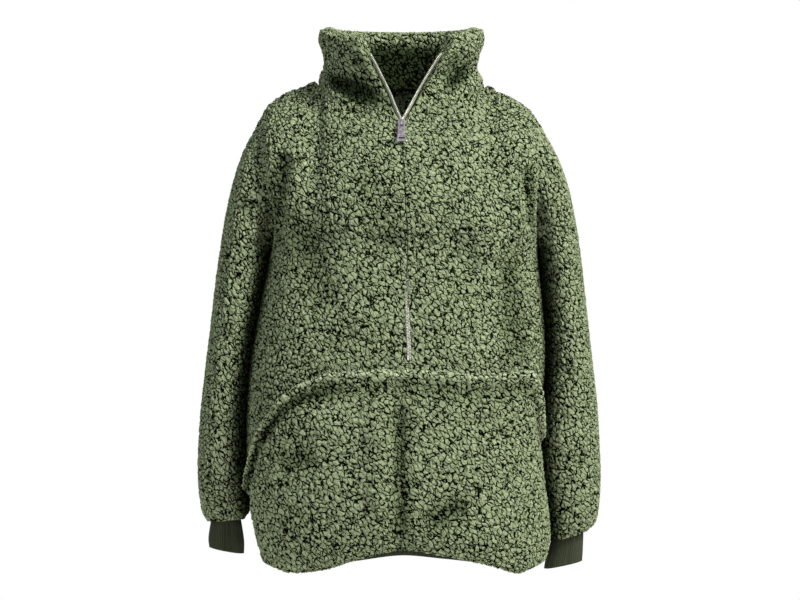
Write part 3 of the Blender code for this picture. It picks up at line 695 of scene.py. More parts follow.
def share_normals(cloths: list[Cloth]) -> None:
    """Gives points that meet at a seam one direction, so walls meet in a mitre.

    Args:
        cloths: the pieces, which keep their directions.
    """
    points = np.concatenate([s.points for s in cloths])
    sums = np.concatenate([s.face_sums() for s in cloths])
    _, same = np.unique(np.round(points, 3), axis=0, return_inverse=True)
    same = same.reshape(-1)
    total = np.zeros((same.max() + 1, 3))
    np.add.at(total, same, sums)
    n = unit(total[same])
    start = 0
    for s in cloths:
        s.normals = n[start:start + len(s.points)]
        start += len(s.points)


def fold_depth(points: Array, normals: Array) -> Array:
    """How far the folds move each point along its direction.

    Args:
        points: the points.
        normals: the way out of the cloth at each.

    Returns:
        A distance for each point, outwards where it is positive.
    """
    x, _, z = points.T
    move = np.zeros(len(points))
    for f in FOLDS:
        dx, dz = f.x1 - f.x0, f.z1 - f.z0
        t = np.clip(((x - f.x0) * dx + (z - f.z0) * dz) / (dx * dx + dz * dz), 0.0, 1.0)
        away = np.hypot(x - f.x0 - t * dx, z - f.z0 - t * dz)
        ends = FOLD_END + (1 - FOLD_END) * smooth(np.minimum(t, 1 - t) * 4.0)
        facing = smooth(f.side * normals[:, 1] * FOLD_TURN)
        move += f.depth * np.exp(-((away / f.width) ** 2)) * ends * facing
    return move * FOLDS_DEEPER


def troughs(points: Array, normals: Array) -> Array:
    """How deep in a fold each point is, 0 to 1."""
    return smooth(-fold_depth(points, normals) / TROUGH)


def near(points: Array, targets: Array, reach: float) -> Array:
    """How near each point is to any of the targets: 1 at it, 0 from reach millimetres on.

    Args:
        points: the points.
        targets: what they may be near.
        reach: how far nearness goes.

    Returns:
        A number from 0 to 1 for each point.
    """
    tree = KDTree(len(targets))
    for k, t in enumerate(targets):
        tree.insert(t, k)
    tree.balance()
    away = np.array([tree.find(p)[2] for p in points])
    return 1.0 - smooth(away / reach)


def neck_edge(front: Cloth, back: Cloth) -> tuple[Array, Array]:
    """The neckline's points and directions, from the slit's left edge round the back to its right.

    Args:
        front: the front panel.
        back: the back panel.

    Returns:
        The points, and the way out of the cloth at each.
    """
    wide, across = front.grid.shape[1], back.grid.shape[1]
    middle, shoulder = (wide - 2) // 2, (len(SHOULDER) - 1) * STEPS
    order = [
        (front, np.arange(middle, shoulder - 1, -1)),
        (back, np.arange(shoulder + 1, across - shoulder - 1)),
        (front, np.arange(wide - shoulder - 1, middle, -1)),
    ]
    points = np.concatenate([cloth.points[cloth.grid[-1][places]] for cloth, places in order])
    return points, np.concatenate([cloth.normals[cloth.grid[-1][places]] for cloth, places in order])


def collar_loop(base: Array, out: Array, share: float) -> Array:
    """The collar's section at a share of the way round: up its outside, over, down its inside.

    Args:
        base: the section's point on the neckline.
        out: the way out of the cloth there.
        share: how far round the collar it is, 0 to 1 from the left edge of the opening.

    Returns:
        The section's control points, from its outer foot to its inner one.
    """
    turn = math.radians(COLLAR_TIP_LEFT - share * (COLLAR_TIP_LEFT + 360.0 - COLLAR_TIP_RIGHT))
    away = np.array([math.cos(turn), math.sin(turn), 0.0])
    ahead = smooth(max(0.0, -away[1]) * 1.1)
    top = np.array([
        COLLAR_MID_X + COLLAR_TOP_X * away[0],
        COLLAR_MID_Y + COLLAR_TOP_Y * away[1],
        COLLAR_BACK_Z + (COLLAR_TIP_Z - COLLAR_BACK_Z) * ahead,
    ])
    if share in (0.0, 1.0):
        out = out * [0, 1, 1]
    foot = math.radians(270.0 - share * 360.0)
    level = np.array([math.cos(foot), math.sin(foot), 0.0])
    out = unit(out * (1 - COLLAR_LEAN) + level * COLLAR_LEAN)
    start = base - out * COLLAR[0].thick / 2.0
    outer, inner = [], []
    for row in COLLAR:
        mix = unit(out + (away - out) * smooth(row.height * 2.0))
        centre = start * (1 - row.height) + top * row.height + away * row.push
        outer.append(centre + mix * row.thick / 2.0)
        inner.append(centre - mix * row.thick / 2.0)
    reach = COLLAR[-1].thick / 2.0
    over = []
    for k in range(1, COLLAR_ROUND_STEPS):
        a = math.pi * k / COLLAR_ROUND_STEPS
        across = away * (COLLAR[-1].push + reach * math.cos(a))
        over.append(top + across + UP * reach * math.sin(a))
    return np.array(outer + over + inner[::-1])


@dataclass(frozen=True)
class Dent:
    """A soft hollow of the collar's outside: its share of the way round, its height, sizes and depth."""

    share: float
    height: float
    wide: float
    high: float
    depth: float


# Where the photograph shows the doubled collar creased under its roll, and its like round the back
COLLAR_DENTS = [Dent(*row) for row in (
    (0.07, 0.36, 0.06, 0.17, 11.0),
    (0.14, 0.30, 0.06, 0.13, 7.0),
    (0.03, 0.75, 0.03, 0.16, 4.0),
    (0.90, 0.50, 0.05, 0.16, 9.0),
    (0.96, 0.72, 0.03, 0.14, 5.0),
    (0.36, 0.48, 0.07, 0.15, 5.0),
    (0.55, 0.55, 0.08, 0.15, 5.0),
    (0.70, 0.44, 0.07, 0.15, 5.0),
)]


@dataclass(frozen=True)
class Collar:
    """The doubled stand collar, open at its front.

    Attributes:
        rows: fine points between two of its section's control points.
        roll: how much further its top leans outwards than the plain solid's, in millimetres.
        tuck: how far its foot reaches under the panels' pile.
        foot_steps: over how many points of a section that reach fades.
        roll_from: the share of its height above which it leans out.
        inner_from: the share of a section after which it is the garment's inside, painted in shade.
        inner_steps: over how many points that painted shade comes in.
        dent_shade: how much painted shade a full dent gets.
        dent_full: how deep a dent is where its painted shade is full.
    """

    rows: int = 7
    roll: float = 4.0
    tuck: float = 4.0
    foot_steps: float = 4.0
    roll_from: float = 0.6
    inner_from: float = 0.66
    inner_steps: float = 14.0
    dent_shade: float = 0.85
    dent_full: float = 10.0

    def loops(self, front: Cloth, back: Cloth) -> tuple[Array, Array]:
        """Its sections from the left edge of the opening round the back to the right edge.

        Args:
            front: the front panel.
            back: the back panel.

        Returns:
            The sections' points, and how deep its dents are at each.
        """
        points, normals = neck_edge(front, back)
        last = len(points) - 1
        ends = enumerate(zip(points, normals))
        loops = through([collar_loop(p, n, k / last) for k, (p, n) in ends], self.rows, 1)
        share = np.linspace(0.0, 1.0, last + 1)[:, None]
        outside = (len(COLLAR) - 1) * self.rows
        height = np.clip(np.arange(loops.shape[1]) / outside * COLLAR[-1].height, 0.0, 1.3)[None, :]
        out = unit(loops - loops[:, ::-1])
        dents = np.zeros(loops.shape[:2])
        for d in COLLAR_DENTS:
            away = ((share - d.share) / d.wide) ** 2
            dents += d.depth * np.exp(-away - ((height - d.height) / d.high) ** 2)
        dents[:, outside + self.rows:] = 0.0
        lean = self.roll * smooth((height - self.roll_from) * 3.0) * (height < 1.2)
        step = np.arange(loops.shape[1])
        foot = smooth(1.0 - np.minimum(step, step[::-1]) / self.foot_steps)[None, :, None]
        beyond = unit(loops[:, :1] - loops[:, 2:3]) * (step < outside)[None, :, None]
        beyond = beyond + unit(loops[:, -1:] - loops[:, -3:-2]) * (step >= outside)[None, :, None]
        return loops + out * (lean - dents)[:, :, None] + beyond * foot * self.tuck, dents

    def build(self, loops: Array, dents: Array) -> Piece:
        """Makes the collar from its sections, with the weight of the pile at each point.

        Args:
            loops: the sections' points.
            dents: how deep the dents are at each.

        Returns:
            The collar.
        """
        count, around = loops.shape[:2]
        cloth = Cloth(loops, wrap=True)
        faces = cloth.quads().tolist()
        for k in range((around - 1) // 2):
            rung = list(dict.fromkeys([k, k + 1, around - 2 - k, around - 1 - k]))
            faces += [rung, [(count - 1) * around + v for v in reversed(rung)]]
        step = np.arange(around)
        foot = smooth(np.minimum(step, around - 1 - step) / self.foot_steps)
        section = np.arange(count)
        ends = smooth((np.minimum(section, count - 1 - section) + 2) / 6.0)
        weight = (0.5 + 0.5 * foot[None, :]) * (0.6 + 0.4 * ends[:, None])
        # Painted shade on the collar's inner side and in its dents, stored as inside
        lining = smooth((step - around * self.inner_from) / self.inner_steps)
        inside = np.maximum(lining, self.dent_shade * smooth(dents / self.dent_full))
        return new_piece("collar_cloth", loops.reshape(-1, 3), faces, flat=2 * ((around - 1) // 2),
                         pile=weight.reshape(-1), inside=inside.reshape(-1),
                         out=cloth.ways_out(loops - loops[:, ::-1]))


def on_grid(cloth: Cloth, rows: Array, columns: Array) -> tuple[Array, Array]:
    """A cloth's points and directions at places between its grid's rows and columns.

    Args:
        cloth: the cloth.
        rows: places along its rows.
        columns: places along its columns.

    Returns:
        The point at each place, and the way out of the cloth.
    """
    i = np.clip(np.floor(rows).astype(int), 0, cloth.grid.shape[0] - 2)
    j = np.clip(np.floor(columns).astype(int), 0, cloth.grid.shape[1] - 2)
    u, v = (rows - i)[..., None], (columns - j)[..., None]
    corners = [(0, 0, (1 - u) * (1 - v)), (0, 1, (1 - u) * v), (1, 0, u * (1 - v)), (1, 1, u * v)]
    point, normal = (
        sum(values[cloth.grid[i + a, j + b]] * w for a, b, w in corners)
        for values in (cloth.points, cloth.normals)
    )
    return point, unit(normal)


@dataclass(frozen=True)
class Pocket:
    """The kangaroo pocket, sewn on at its foot and top, its two slanted sides open.

    Attributes:
        hem: how wide the roll of its free edges is.
        ridge: how far its rolled edge stands out.
        groove: how far the cloth falls back under that edge.
        shaded_left: left of this, in millimetres, the painted shade in the groove starts to deepen.
        shaded_over: over how many millimetres it does.
        shade_right: how strong that painted shade is on the right, against the left.
        ridge_wide, groove_wide: their sizes, in rows of the front panel.
        groove_at: how far below the edge the groove is, in the same rows.
        shade_at, shade_wide: the same of its painted shade.
        light: how much painted highlight the ridge gets.
    """

    hem: float = 4.5
    ridge: float = 5.0
    groove: float = 4.0
    shaded_left: float = -60.0
    shaded_over: float = 50.0
    shade_right: float = 0.35
    ridge_wide: float = 0.16
    groove_wide: float = 0.2
    groove_at: float = 0.48
    shade_at: float = 0.45
    shade_wide: float = 0.28
    light: float = 0.3

    def cloth(self, front: Cloth) -> Cloth:
        """Its outside, made from the front panel's points and moved out.

        Args:
            front: the front panel.

        Returns:
            The pocket's cloth.
        """
        edge = columns_of(POCKET)
        columns = np.arange(edge["column"][0], edge["column"][-1] + 0.01, 1.0 / STEPS)[None, :]
        heights = np.linspace(0.0, 1.0, POCKET_ROWS * STEPS + 1)[:, None]
        top = np.interp(columns, edge["column"], edge["top"])
        mouth = np.interp(columns, edge["column"], edge["puff"])
        rows = POCKET_FOOT + (top - POCKET_FOOT) * heights
        across = (columns - columns[0, 0]) / (columns[0, -1] - columns[0, 0])
        rise = np.sin(math.pi / 2.0 * np.minimum(heights / POCKET_BELLY, 1.0))
        full = POCKET_FULL * np.sin(math.pi * across).clip(0) ** 0.7 * rise
        puff = full * (1 - heights ** 3) + mouth * heights ** 3
        place = columns * STEPS + 0.0 * heights
        middle = front.slit
        point, normal = on_grid(front, rows * STEPS, place + (place > middle))
        below = (1.0 - heights) * (top - POCKET_FOOT)
        ridge = self.ridge * np.exp(-((below / self.ridge_wide) ** 2))
        groove = np.exp(-(((below - self.groove_at) / self.groove_wide) ** 2))
        ridge = ridge - self.groove * groove
        point = point + normal * (POCKET_GAP + puff + ridge + FLEECE)[..., None]
        up = unit(point[-1] - point[-2])
        point = np.concatenate([point, curled(point[-1], normal[-1], up, self.hem)])
        normal = np.concatenate([normal, np.repeat(normal[-1:], ROLL_STEPS, axis=0)])
        left, right = (
            curled(point[:, edge], normal[:, edge], unit(point[:, edge] - point[:, next_in]), self.hem)
            for edge, next_in in ((0, 1), (-1, -2))
        )
        sides = [np.array(left[::-1]).swapaxes(0, 1), np.array(right).swapaxes(0, 1)]
        cloth = Cloth(np.concatenate([sides[0], point, sides[1]], axis=1))
        sides = [np.repeat(normal[:, place], ROLL_STEPS, 1) for place in (np.s_[:1], np.s_[-1:])]
        cloth.normals = np.concatenate([sides[0], normal, sides[1]], axis=1).reshape(-1, 3)
        count = POCKET_ROWS * STEPS + 1
        cloth.row_base = np.arange(0, count, LINING)
        cloth.row_blocks = cloth.row_base.copy()
        cloth.row_blocks[-1] = cloth.grid.shape[0] - 1
        cloth.column_base = np.arange(ROLL_STEPS, cloth.grid.shape[1] - ROLL_STEPS, LINING)
        cloth.column_blocks = cloth.column_base.copy()
        cloth.column_blocks[0], cloth.column_blocks[-1] = 0, cloth.grid.shape[1] - 1
        return cloth

    def build(self, front: Cloth) -> Piece:
        """Makes the pocket; the pile is full everywhere but along its sewn foot.

        Args:
            front: the front panel.

        Returns:
            The pocket.
        """
        cloth = self.cloth(front)
        points, faces, lining = cloth.walled(FLEECE)
        rows = np.arange(cloth.grid.shape[0])
        weight = np.zeros(len(points))
        weight[cloth.grid.reshape(-1)] = np.repeat(0.4 + 0.6 * smooth(rows / 4.0), cloth.grid.shape[1])
        out, inside = np.zeros_like(points), np.zeros(len(points))
        out[~lining] = cloth.ways_out(cloth.normals)
        below = (POCKET_ROWS * STEPS - rows) / STEPS
        across = cloth.grid.shape[1]
        # Painted shade in the groove under the rolled edge, deeper to the left, and in fold troughs, less
        # a painted highlight on the ridge, all stored as inside
        shade = np.exp(-(((below - self.shade_at) / self.shade_wide) ** 2)).repeat(across)
        left = smooth((self.shaded_left - cloth.points[:, 0]) / self.shaded_over)
        left = self.shade_right + (1.0 - self.shade_right) * left
        light = np.exp(-((below / self.groove_wide) ** 2)).repeat(across)
        folds = troughs(cloth.points, cloth.normals)
        inside[~lining] = FOLD_SHADE * np.maximum(shade * left, folds) - self.light * light
        return new_piece("pocket_cloth", points, faces, flat=cloth.rims,
                         pile=weight, out=out, inside=inside)


def new_piece(name: str, points: Array, faces: list, flat: int = 0, **attributes: Array) -> Piece:
    """Makes a named object from points in millimetres.

    Args:
        name: the piece's name.
        points: its points.
        faces: lists of point numbers.
        flat: how many of the last faces are rims, which aren't shaded smooth.
        attributes: one number or direction for each point, stored under its name.

    Returns:
        The object, linked into the scene.
    """
    mesh = bpy.data.meshes.new(name)
    mesh.from_pydata((np.asarray(points) * MM).tolist(), [], [list(map(int, f)) for f in faces])
    for key, values in attributes.items():
        values = np.asarray(values, np.float32)
        kind, field = ("FLOAT", "value") if values.ndim == 1 else ("FLOAT_VECTOR", "vector")
        mesh.attributes.new(key, kind, "POINT").data.foreach_set(field, values.ravel())
    bm = bmesh.new()
    bm.from_mesh(mesh)
    bmesh.ops.recalc_face_normals(bm, faces=bm.faces)
    bm.to_mesh(mesh)
    bm.free()
    mesh.polygons.foreach_set("use_smooth", np.arange(len(faces)) < len(faces) - flat)
    obj = bpy.data.objects.new(name, mesh)
    bpy.context.scene.collection.objects.link(obj)
    return obj


@dataclass(frozen=True)
class RibTube:
    """A knitted rib tube, such as a cuff: ribs run down it, with a soft gather.

    Attributes:
        ribs: how many ribs go round.
        relief: how deep the furrows between them are.
        around: fine points round.
        steps: fine rows between two control rings.
        lining: fine points round that each part of the lining spans.
    """

    ribs: int
    relief: float
    around: int = 416
    steps: int = 7
    lining: int = 4

    def furrows(self, shape: tuple[int, int], seed: int) -> Array:
        """How far each point lies below the ribs' crowns.

        Args:
            shape: how many rows and places round there are.
            seed: what the gather's chance starts from.

        Returns:
            A depth for each point.
        """
        turn = np.arange(shape[1]) / shape[1] * 2.0 * math.pi
        rng = np.random.default_rng(seed)
        phase = rng.uniform(0, 2 * math.pi, 3)
        gather = 0.5 * np.sin(turn * 7 + phase[0]) + 0.35 * np.sin(turn * 13 + phase[1])
        rib = np.abs(np.sin(turn * self.ribs / 2.0 + 0.8 * gather)) ** 0.6
        stitch = 0.12 * np.sin(np.arange(shape[0])[:, None] * 2.1 + phase[2])
        return self.relief * (1.0 - rib)[None, :] * (1.0 + stitch) + 0.5 * np.abs(gather)[None, :]

    def walled(self, name: str, rings: Array, thick: float, flip: bool, seed: int) -> Piece:
        """Makes the tube from its rings: ribs outside, a plain lining, and its rims.

        Args:
            name: the piece's name.
            rings: its fine rings of points.
            thick: its wall's thickness.
            flip: whether its faces turn the other way.
            seed: what the gather's chance starts from.

        Returns:
            The tube.
        """
        cloth = Cloth(rings, wrap=True, flip=flip)
        share_normals([cloth])
        depth = self.furrows(rings.shape[:2], seed).reshape(-1)
        outer = cloth.points - cloth.normals * depth[:, None]
        rows = rings.shape[0]
        kept = np.unique(np.append(np.arange(0, rows, self.steps), rows - 1))
        cloth.row_base = cloth.row_blocks = kept
        cloth.column_base = cloth.column_blocks = np.arange(0, rings.shape[1], self.lining)
        points, faces, _ = cloth.walled(thick, outer)
        # The furrows' depth, kept for the finish's painted shade
        furrow = np.concatenate([depth / (self.relief + 0.5), np.zeros(len(points) - len(outer))])
        return new_piece(name, points, faces, furrow=furrow)

    def cuff(
        self,
        side: str,
        table: list[SleeveRow],
        rings: list[SleeveRow],
        flip: bool,
        seed: int,
    ) -> Piece:
        """A cuff's rings start inside the sleeve's end and follow its table down.

        Args:
            side: left or right.
            table: the sleeve's rings.
            rings: the cuff's own rings.
            flip: whether its faces turn the other way.
            seed: what the gather's chance starts from.

        Returns:
            The cuff.
        """
        angles = np.linspace(0.0, 2.0 * math.pi, self.around, endpoint=False)
        end = table[-1]
        inward = CUFF_INSET if end.outer > end.inner else -CUFF_INSET
        start = SleeveRow(
            end.outer - inward, end.outer_z + CUFF_LIFT, end.inner + inward,
            end.inner_z + CUFF_LIFT, end.y, end.depth - CUFF_INSET,
        )
        shape = through([ring(r, angles) for r in [start] + list(rings)], self.steps, 0)
        return self.walled("cuff_%s_rib" % side, shape, RIB, flip, seed)

    def band(self, front: Cloth, back: Cloth, seed: int) -> Piece:
        """The hem band: a narrow gathered strip just inside the turned-up hem.

        Args:
            front: the front panel.
            back: the back panel.
            seed: what the gather's chance starts from.

        Returns:
            The band.
        """
        front_ids = np.delete(front.grid[0], front.slit + 1)
        back_ids = back.grid[0][::-1]
        edge = np.concatenate([front.points[front_ids][:-1], back.points[back_ids][:-1]])
        inward = unit((edge.mean(axis=0) - edge) * [1, 1, 0])
        rings = []
        for row in BAND_ROWS:
            points = edge + inward * (BAND_CLEAR + row.tuck)
            points[:, 2] = edge[:, 2] * row.follow + BODY[0].z * (1 - row.follow) + row.lift
            rings.append(points)
        rings = through(rings, self.steps, 0)
        closed = np.concatenate([rings, rings[:, :1]], axis=1)
        return self.walled("hem_rib", through(closed, 3, 1)[:, :-1], BAND, True, seed)


def slit_edge(front: Cloth, i: int) -> tuple[Array, Array]:
    """The middle of the slit at a row, and the way out of the cloth there."""
    ids = front.grid[i][front.slit: front.slit + 2]
    return front.points[ids].mean(axis=0), unit(front.normals[ids].sum(axis=0))


class ZipPath:
    """One side of the zip: the line of its teeth and the ways across and out along it."""

    def __init__(self, front: Cloth, loops: Array, side: int, collar_rows: int) -> None:
        """Follows the slit's edge up from its foot, then the collar's front edge.

        Args:
            front: the front panel.
            loops: the collar's sections.
            side: -1 left or 1 right.
            collar_rows: fine points between two control points of a section.
        """

        self.side = side
        first, last = ZIP_END_ROW * STEPS, front.grid.shape[0] - 1
        places, acrosses, outs = [], [], []
        for i in range(first, last - ZIP_SHORT, ZIP_STEP):
            centre, out = slit_edge(front, i)
            across = unit((RIGHT - out * out[0]) * side)
            buried = TEETH_BURIED * smooth((i - first) / (last - first) * 4.0 - 0.5)
            sunk = out * (TEETH_SINK + 1.0 + buried)
            places.append(centre - sunk + across * TEETH_HALF / 2.0)
            acrosses.append(across)
            outs.append(out)
        self.closed = len(places)
        end, beside = (loops[0], loops[1]) if side < 0 else (loops[-1], loops[-2])
        top = (len(COLLAR) - 1) * collar_rows
        for k in range(collar_rows // 2, top + 1, 2):
            outer, inner = end[k], end[-1 - k]
            out = unit(outer - inner)
            centre = (outer + inner) / 2.0
            away = centre - (beside[k] + beside[-1 - k]) / 2.0
            away = unit(away - out * away.dot(out))
            places.append(centre + away * EDGE_WIDE * EDGE_SHARE + out * EDGE_FACE)
            acrosses.append(away * -1.0)
            outs.append(out)
        self.places = np.array(places)
        self.across, self.out = unit(np.array(acrosses)), unit(np.array(outs))

    def teeth(self) -> tuple[Array, Array, Array]:
        """Evenly spaced places along the line, with the ways along and out at each.

        Returns:
            The places, the way along the line at each, and the way out of the cloth.
        """
        steps = np.linalg.norm(np.diff(self.places, axis=0), axis=1)
        length = np.concatenate([[0.0], np.cumsum(steps)])
        start = 0.5 * TEETH_PITCH if self.side > 0 else 0.0
        at = np.arange(start, length[-1], TEETH_PITCH)
        places, out = (
            np.stack([np.interp(at, length, a[:, k]) for k in range(3)], 1)
            for a in (self.places, self.out)
        )
        return places, unit(np.gradient(places, axis=0)), unit(out)

    def tape(self) -> Array:
        """The tape's rings: behind the cloth below, and along the collar's edge above.

        Returns:
            Rings of four points.
        """
        rings = []
        for k, (p, a, o) in enumerate(zip(self.places, self.across, self.out)):
            sink, near_edge, far_edge = TAPE_SINK - TEETH_SINK, 0.0, TAPE_WIDE
            if k >= self.closed:
                sink, near_edge, far_edge = 1.2, -1.0, EDGE_WIDE - EDGE_CLEAR
            inner, outer = p + a * near_edge - o * sink, p + a * far_edge - o * sink
            rings.append([inner, outer, outer - o * TAPE_THICK, inner - o * TAPE_THICK])
        return np.array(rings)


def swept(name: str, rings: Array) -> Piece:
    """A closed piece swept through rings of points, its ends flat.

    Args:
        name: the piece's name.
        rings: its rings of points.

    Returns:
        The object.
    """
    count, around = rings.shape[:2]
    faces = Cloth(rings, wrap=True).quads().tolist()
    faces += [list(range(around))[::-1], [(count - 1) * around + k for k in range(around)]]
    return new_piece(name, rings.reshape(-1, 3), faces)


# The node kinds that are used most
MATH, VECTOR = "ShaderNodeMath", "ShaderNodeVectorMath"
NOISE, VORONOI = "ShaderNodeTexNoise", "ShaderNodeTexVoronoi"
MAP_RANGE, RAMP, BUMP = "ShaderNodeMapRange", "ShaderNodeValToRGB", "ShaderNodeBump"
COORDINATE, ATTRIBUTE = "ShaderNodeTexCoord", "ShaderNodeAttribute"
STORED = "GeometryNodeInputNamedAttribute"


class Graph:
    """A node tree being built."""

    def __init__(self, tree: bpy.types.NodeTree) -> None:
        """Starts the tree empty."""
        self.tree = tree
        tree.nodes.clear()

    def add(
        self,
        kind: str,
        *values: object,
        out: int | str = 0,
        stops: tuple = (),
        **settings: object,
    ) -> Socket | None:
        """Adds a node with its settings and links.

        Args:
            kind: its type.
            values: its inputs in order, as values or other nodes' outputs, or by name in a dict.
            out: the output that is handed back.
            stops: a colour ramp's places and hex colours.
            settings: its own options.

        Returns:
            The output, or None where the node has none.
        """
        node = self.tree.nodes.new(kind)
        for key, value in settings.items():
            setattr(node, key, value)
        inputs = {}
        for k, value in enumerate(values):
            inputs.update(value if isinstance(value, dict) else {k: value})
        for key, value in inputs.items():
            if isinstance(value, Socket):
                self.tree.links.new(value, node.inputs[key])
            else:
                node.inputs[key].default_value = value
        points = node.color_ramp.elements if stops else ()
        while len(points) < len(stops):
            points.new(0.5)
        for point, (place, colour) in zip(points, stops):
            point.position, point.color = place, linear(colour)
        return node.outputs[out] if len(node.outputs) else None


def geometry_group(name: str, sockets: list[tuple[str, str]]) -> tuple[Graph, dict, Callable]:
    """An empty geometry node group with named inputs.

    Args:
        name: its name.
        sockets: (name, socket type) of each input after the geometry.

    Returns:
        The graph, its inputs by name and a function that closes it on a geometry.
    """
    tree = bpy.data.node_groups.new(name, "GeometryNodeTree")
    tree.interface.new_socket("Geometry", in_out="INPUT", socket_type="NodeSocketGeometry")
    for title, kind in sockets:
        tree.interface.new_socket(title, in_out="INPUT", socket_type=kind)
    tree.interface.new_socket("Geometry", in_out="OUTPUT", socket_type="NodeSocketGeometry")
    graph = Graph(tree)
    source = graph.add("NodeGroupInput").node.outputs

    def close(geometry: Socket) -> bpy.types.NodeTree:
        """Ends the group with the geometry made real, in the given finish.

        Args:
            geometry: the last geometry.

        Returns:
            The node tree.
        """
        real = graph.add("GeometryNodeRealizeInstances", {"Geometry": geometry})
        ends = {"Geometry": real, "Material": source["Finish"]}
        graph.add("NodeGroupOutput", {"Geometry": graph.add("GeometryNodeSetMaterial", ends)})
        return tree

    return graph, source, close


@dataclass(frozen=True)
class TuftPattern:
    """The sherpa's pattern: flat-topped tufts, thin cracks between most of them, and small curls.

    The pile is lifted by it and the finish is coloured by it, so both have the same tufts.

    Attributes:
        slant: which way the tufts lie; their cracks run down to the right on the chest.
        stretch: how much it is squeezed along X, Y and Z once slanted; under 1 draws it out.
        drift: the scale of its wandering, in waves a metre.
        wander: how far it wanders, in metres.
        gaps: the scale of the patches where tufts run together, against a tuft's.
        curls: the scale of the curls, against a tuft's.
        fuzz: the scale of the fuzz on them.
        open: between which values of the gaps' noise a crack comes in.
        shut: how much is left of a crack where tufts run together.
        crack_start: how far from its middle a crack's sides begin to rise, as a share of a tuft.
        drop: how far a crack goes down.
    """

    slant: float = math.radians(40.0)
    stretch: tuple = (1.2, 1.0, 0.62)
    drift: float = 120.0
    wander: float = 0.009
    gaps: float = 2.0
    curls: float = 2.3
    fuzz: float = 2.8
    open: tuple = (0.40, 0.55)
    shut: float = 0.16
    crack_start: float = 0.01
    drop: float = -0.9

    def build(self, graph: Graph, place: Socket, size: object, reach: float) -> tuple:
        """Adds the pattern to a graph.

        Args:
            graph: the node graph to build it in.
            place: where the pattern is read, on the cloth before its pile.
            size: across one tuft.
            reach: how wide the cracks' sides are, as a share of a tuft.

        Returns:
            The depth of the cracks, and the height of the tufts with their curls, both 0 to 1.
        """
        drift = {"Vector": place, "Scale": self.drift, "Detail": 2.0}
        drift = graph.add(NOISE, drift, out="Color")
        drift = graph.add(VECTOR, drift, (0.5, 0.5, 0.5), operation="SUBTRACT")
        warp = graph.add(VECTOR, drift, {"Scale": self.wander}, operation="SCALE")
        moved = graph.add(VECTOR, place, warp, operation="ADD")
        turn = {"Vector": moved, "Angle": self.slant}
        slanted = graph.add("ShaderNodeVectorRotate", turn, rotation_type="Y_AXIS")
        where = graph.add(VECTOR, slanted, self.stretch, operation="MULTIPLY")
        scale = graph.add(MATH, 1.0, size, operation="DIVIDE")
        gaps, curls, fuzz = (
            graph.add(MATH, scale, times, operation="MULTIPLY")
            for times in (self.gaps, self.curls, self.fuzz)
        )
        cells = {"Vector": where, "Scale": scale}
        edges = graph.add(VORONOI, cells, feature="DISTANCE_TO_EDGE", out="Distance")
        merged = graph.add(NOISE, {"Vector": where, "Scale": gaps, "Detail": 1.0})
        curled_up = graph.add(VORONOI, {"Vector": where, "Scale": curls}, feature="F1", out="Distance")
        fuzzy = graph.add(NOISE, {"Vector": where, "Scale": fuzz, "Detail": 3.0})
        sides = {"From Min": self.crack_start, "From Max": reach, "To Min": 1.0, "To Max": 0.0}
        near_edge = graph.add(
            MAP_RANGE, {"Value": edges, **sides}, interpolation_type="SMOOTHSTEP",
        )
        low, high = self.open
        shown = graph.add(MAP_RANGE, {
            "Value": merged, "From Min": low, "From Max": high, "To Min": self.shut, "To Max": 1.0,
        })
        crack = graph.add(MATH, near_edge, shown, operation="MULTIPLY")
        top = graph.add(MATH, fuzzy, 0.45, 0.64, operation="MULTIPLY_ADD")
        top = graph.add(MATH, curled_up, -0.28, top, operation="MULTIPLY_ADD")
        left = graph.add(MATH, crack, self.drop, 1.0, operation="MULTIPLY_ADD")
        return crack, graph.add(MATH, top, left, operation="MULTIPLY", use_clamp=True)


# Where the tufts' own level is, between their cracks and tips
TUFT_LEVEL = 0.6


def pile_group() -> bpy.types.NodeTree:
    """Sherpa pile: lifts the tufts along the cloth's own directions and keeps the place before it.

    Returns:
        The group.
    """
    graph, source, close = geometry_group("sherpa_pile", [
        ("Tuft height", "NodeSocketFloat"),
        ("Tuft size", "NodeSocketFloat"),
        ("Finish", "NodeSocketMaterial"),
    ])
    place = graph.add("GeometryNodeInputPosition")
    _, tuft = TuftPattern().build(graph, place, source["Tuft size"], 0.24)
    pile = graph.add(STORED, {"Name": "pile"}, data_type="FLOAT")
    out = graph.add(STORED, {"Name": "out"}, data_type="FLOAT_VECTOR")
    kept = {"Geometry": source["Geometry"], "Name": "rest", "Value": place}
    kept = graph.add(
        "GeometryNodeStoreNamedAttribute", kept, data_type="FLOAT_VECTOR", domain="POINT",
    )
    lift = graph.add(MATH, tuft, TUFT_LEVEL, operation="SUBTRACT")
    lift = graph.add(MATH, lift, source["Tuft height"], operation="MULTIPLY")
    lift = graph.add(MATH, lift, pile, operation="MULTIPLY")
    move = graph.add(VECTOR, out, {"Scale": lift}, operation="SCALE")
    return close(graph.add("GeometryNodeSetPosition", {"Geometry": kept, "Offset": move}))


def teeth_group() -> bpy.types.NodeTree:
    """Zip teeth: one at each point, turned to the ways along and out that the point holds.

    Returns:
        The group.
    """
    graph, source, close = geometry_group("zip_teeth", [
        ("Tooth", "NodeSocketObject"),
        ("Finish", "NodeSocketMaterial"),
    ])
    along, outward = (
        graph.add(STORED, {"Name": name}, data_type="FLOAT_VECTOR") for name in ("along", "outward")
    )
    align = "FunctionNodeAlignRotationToVector"
    turned = graph.add(align, {"Vector": along}, axis="Y")
    turned = graph.add(align, {"Rotation": turned, "Vector": outward}, axis="Z", pivot_axis="Y")
    tooth = graph.add("GeometryNodeObjectInfo", {"Object": source["Tooth"]}, out="Geometry")
    points = {"Points": source["Geometry"], "Instance": tooth, "Rotation": turned}
    return close(graph.add("GeometryNodeInstanceOnPoints", points))


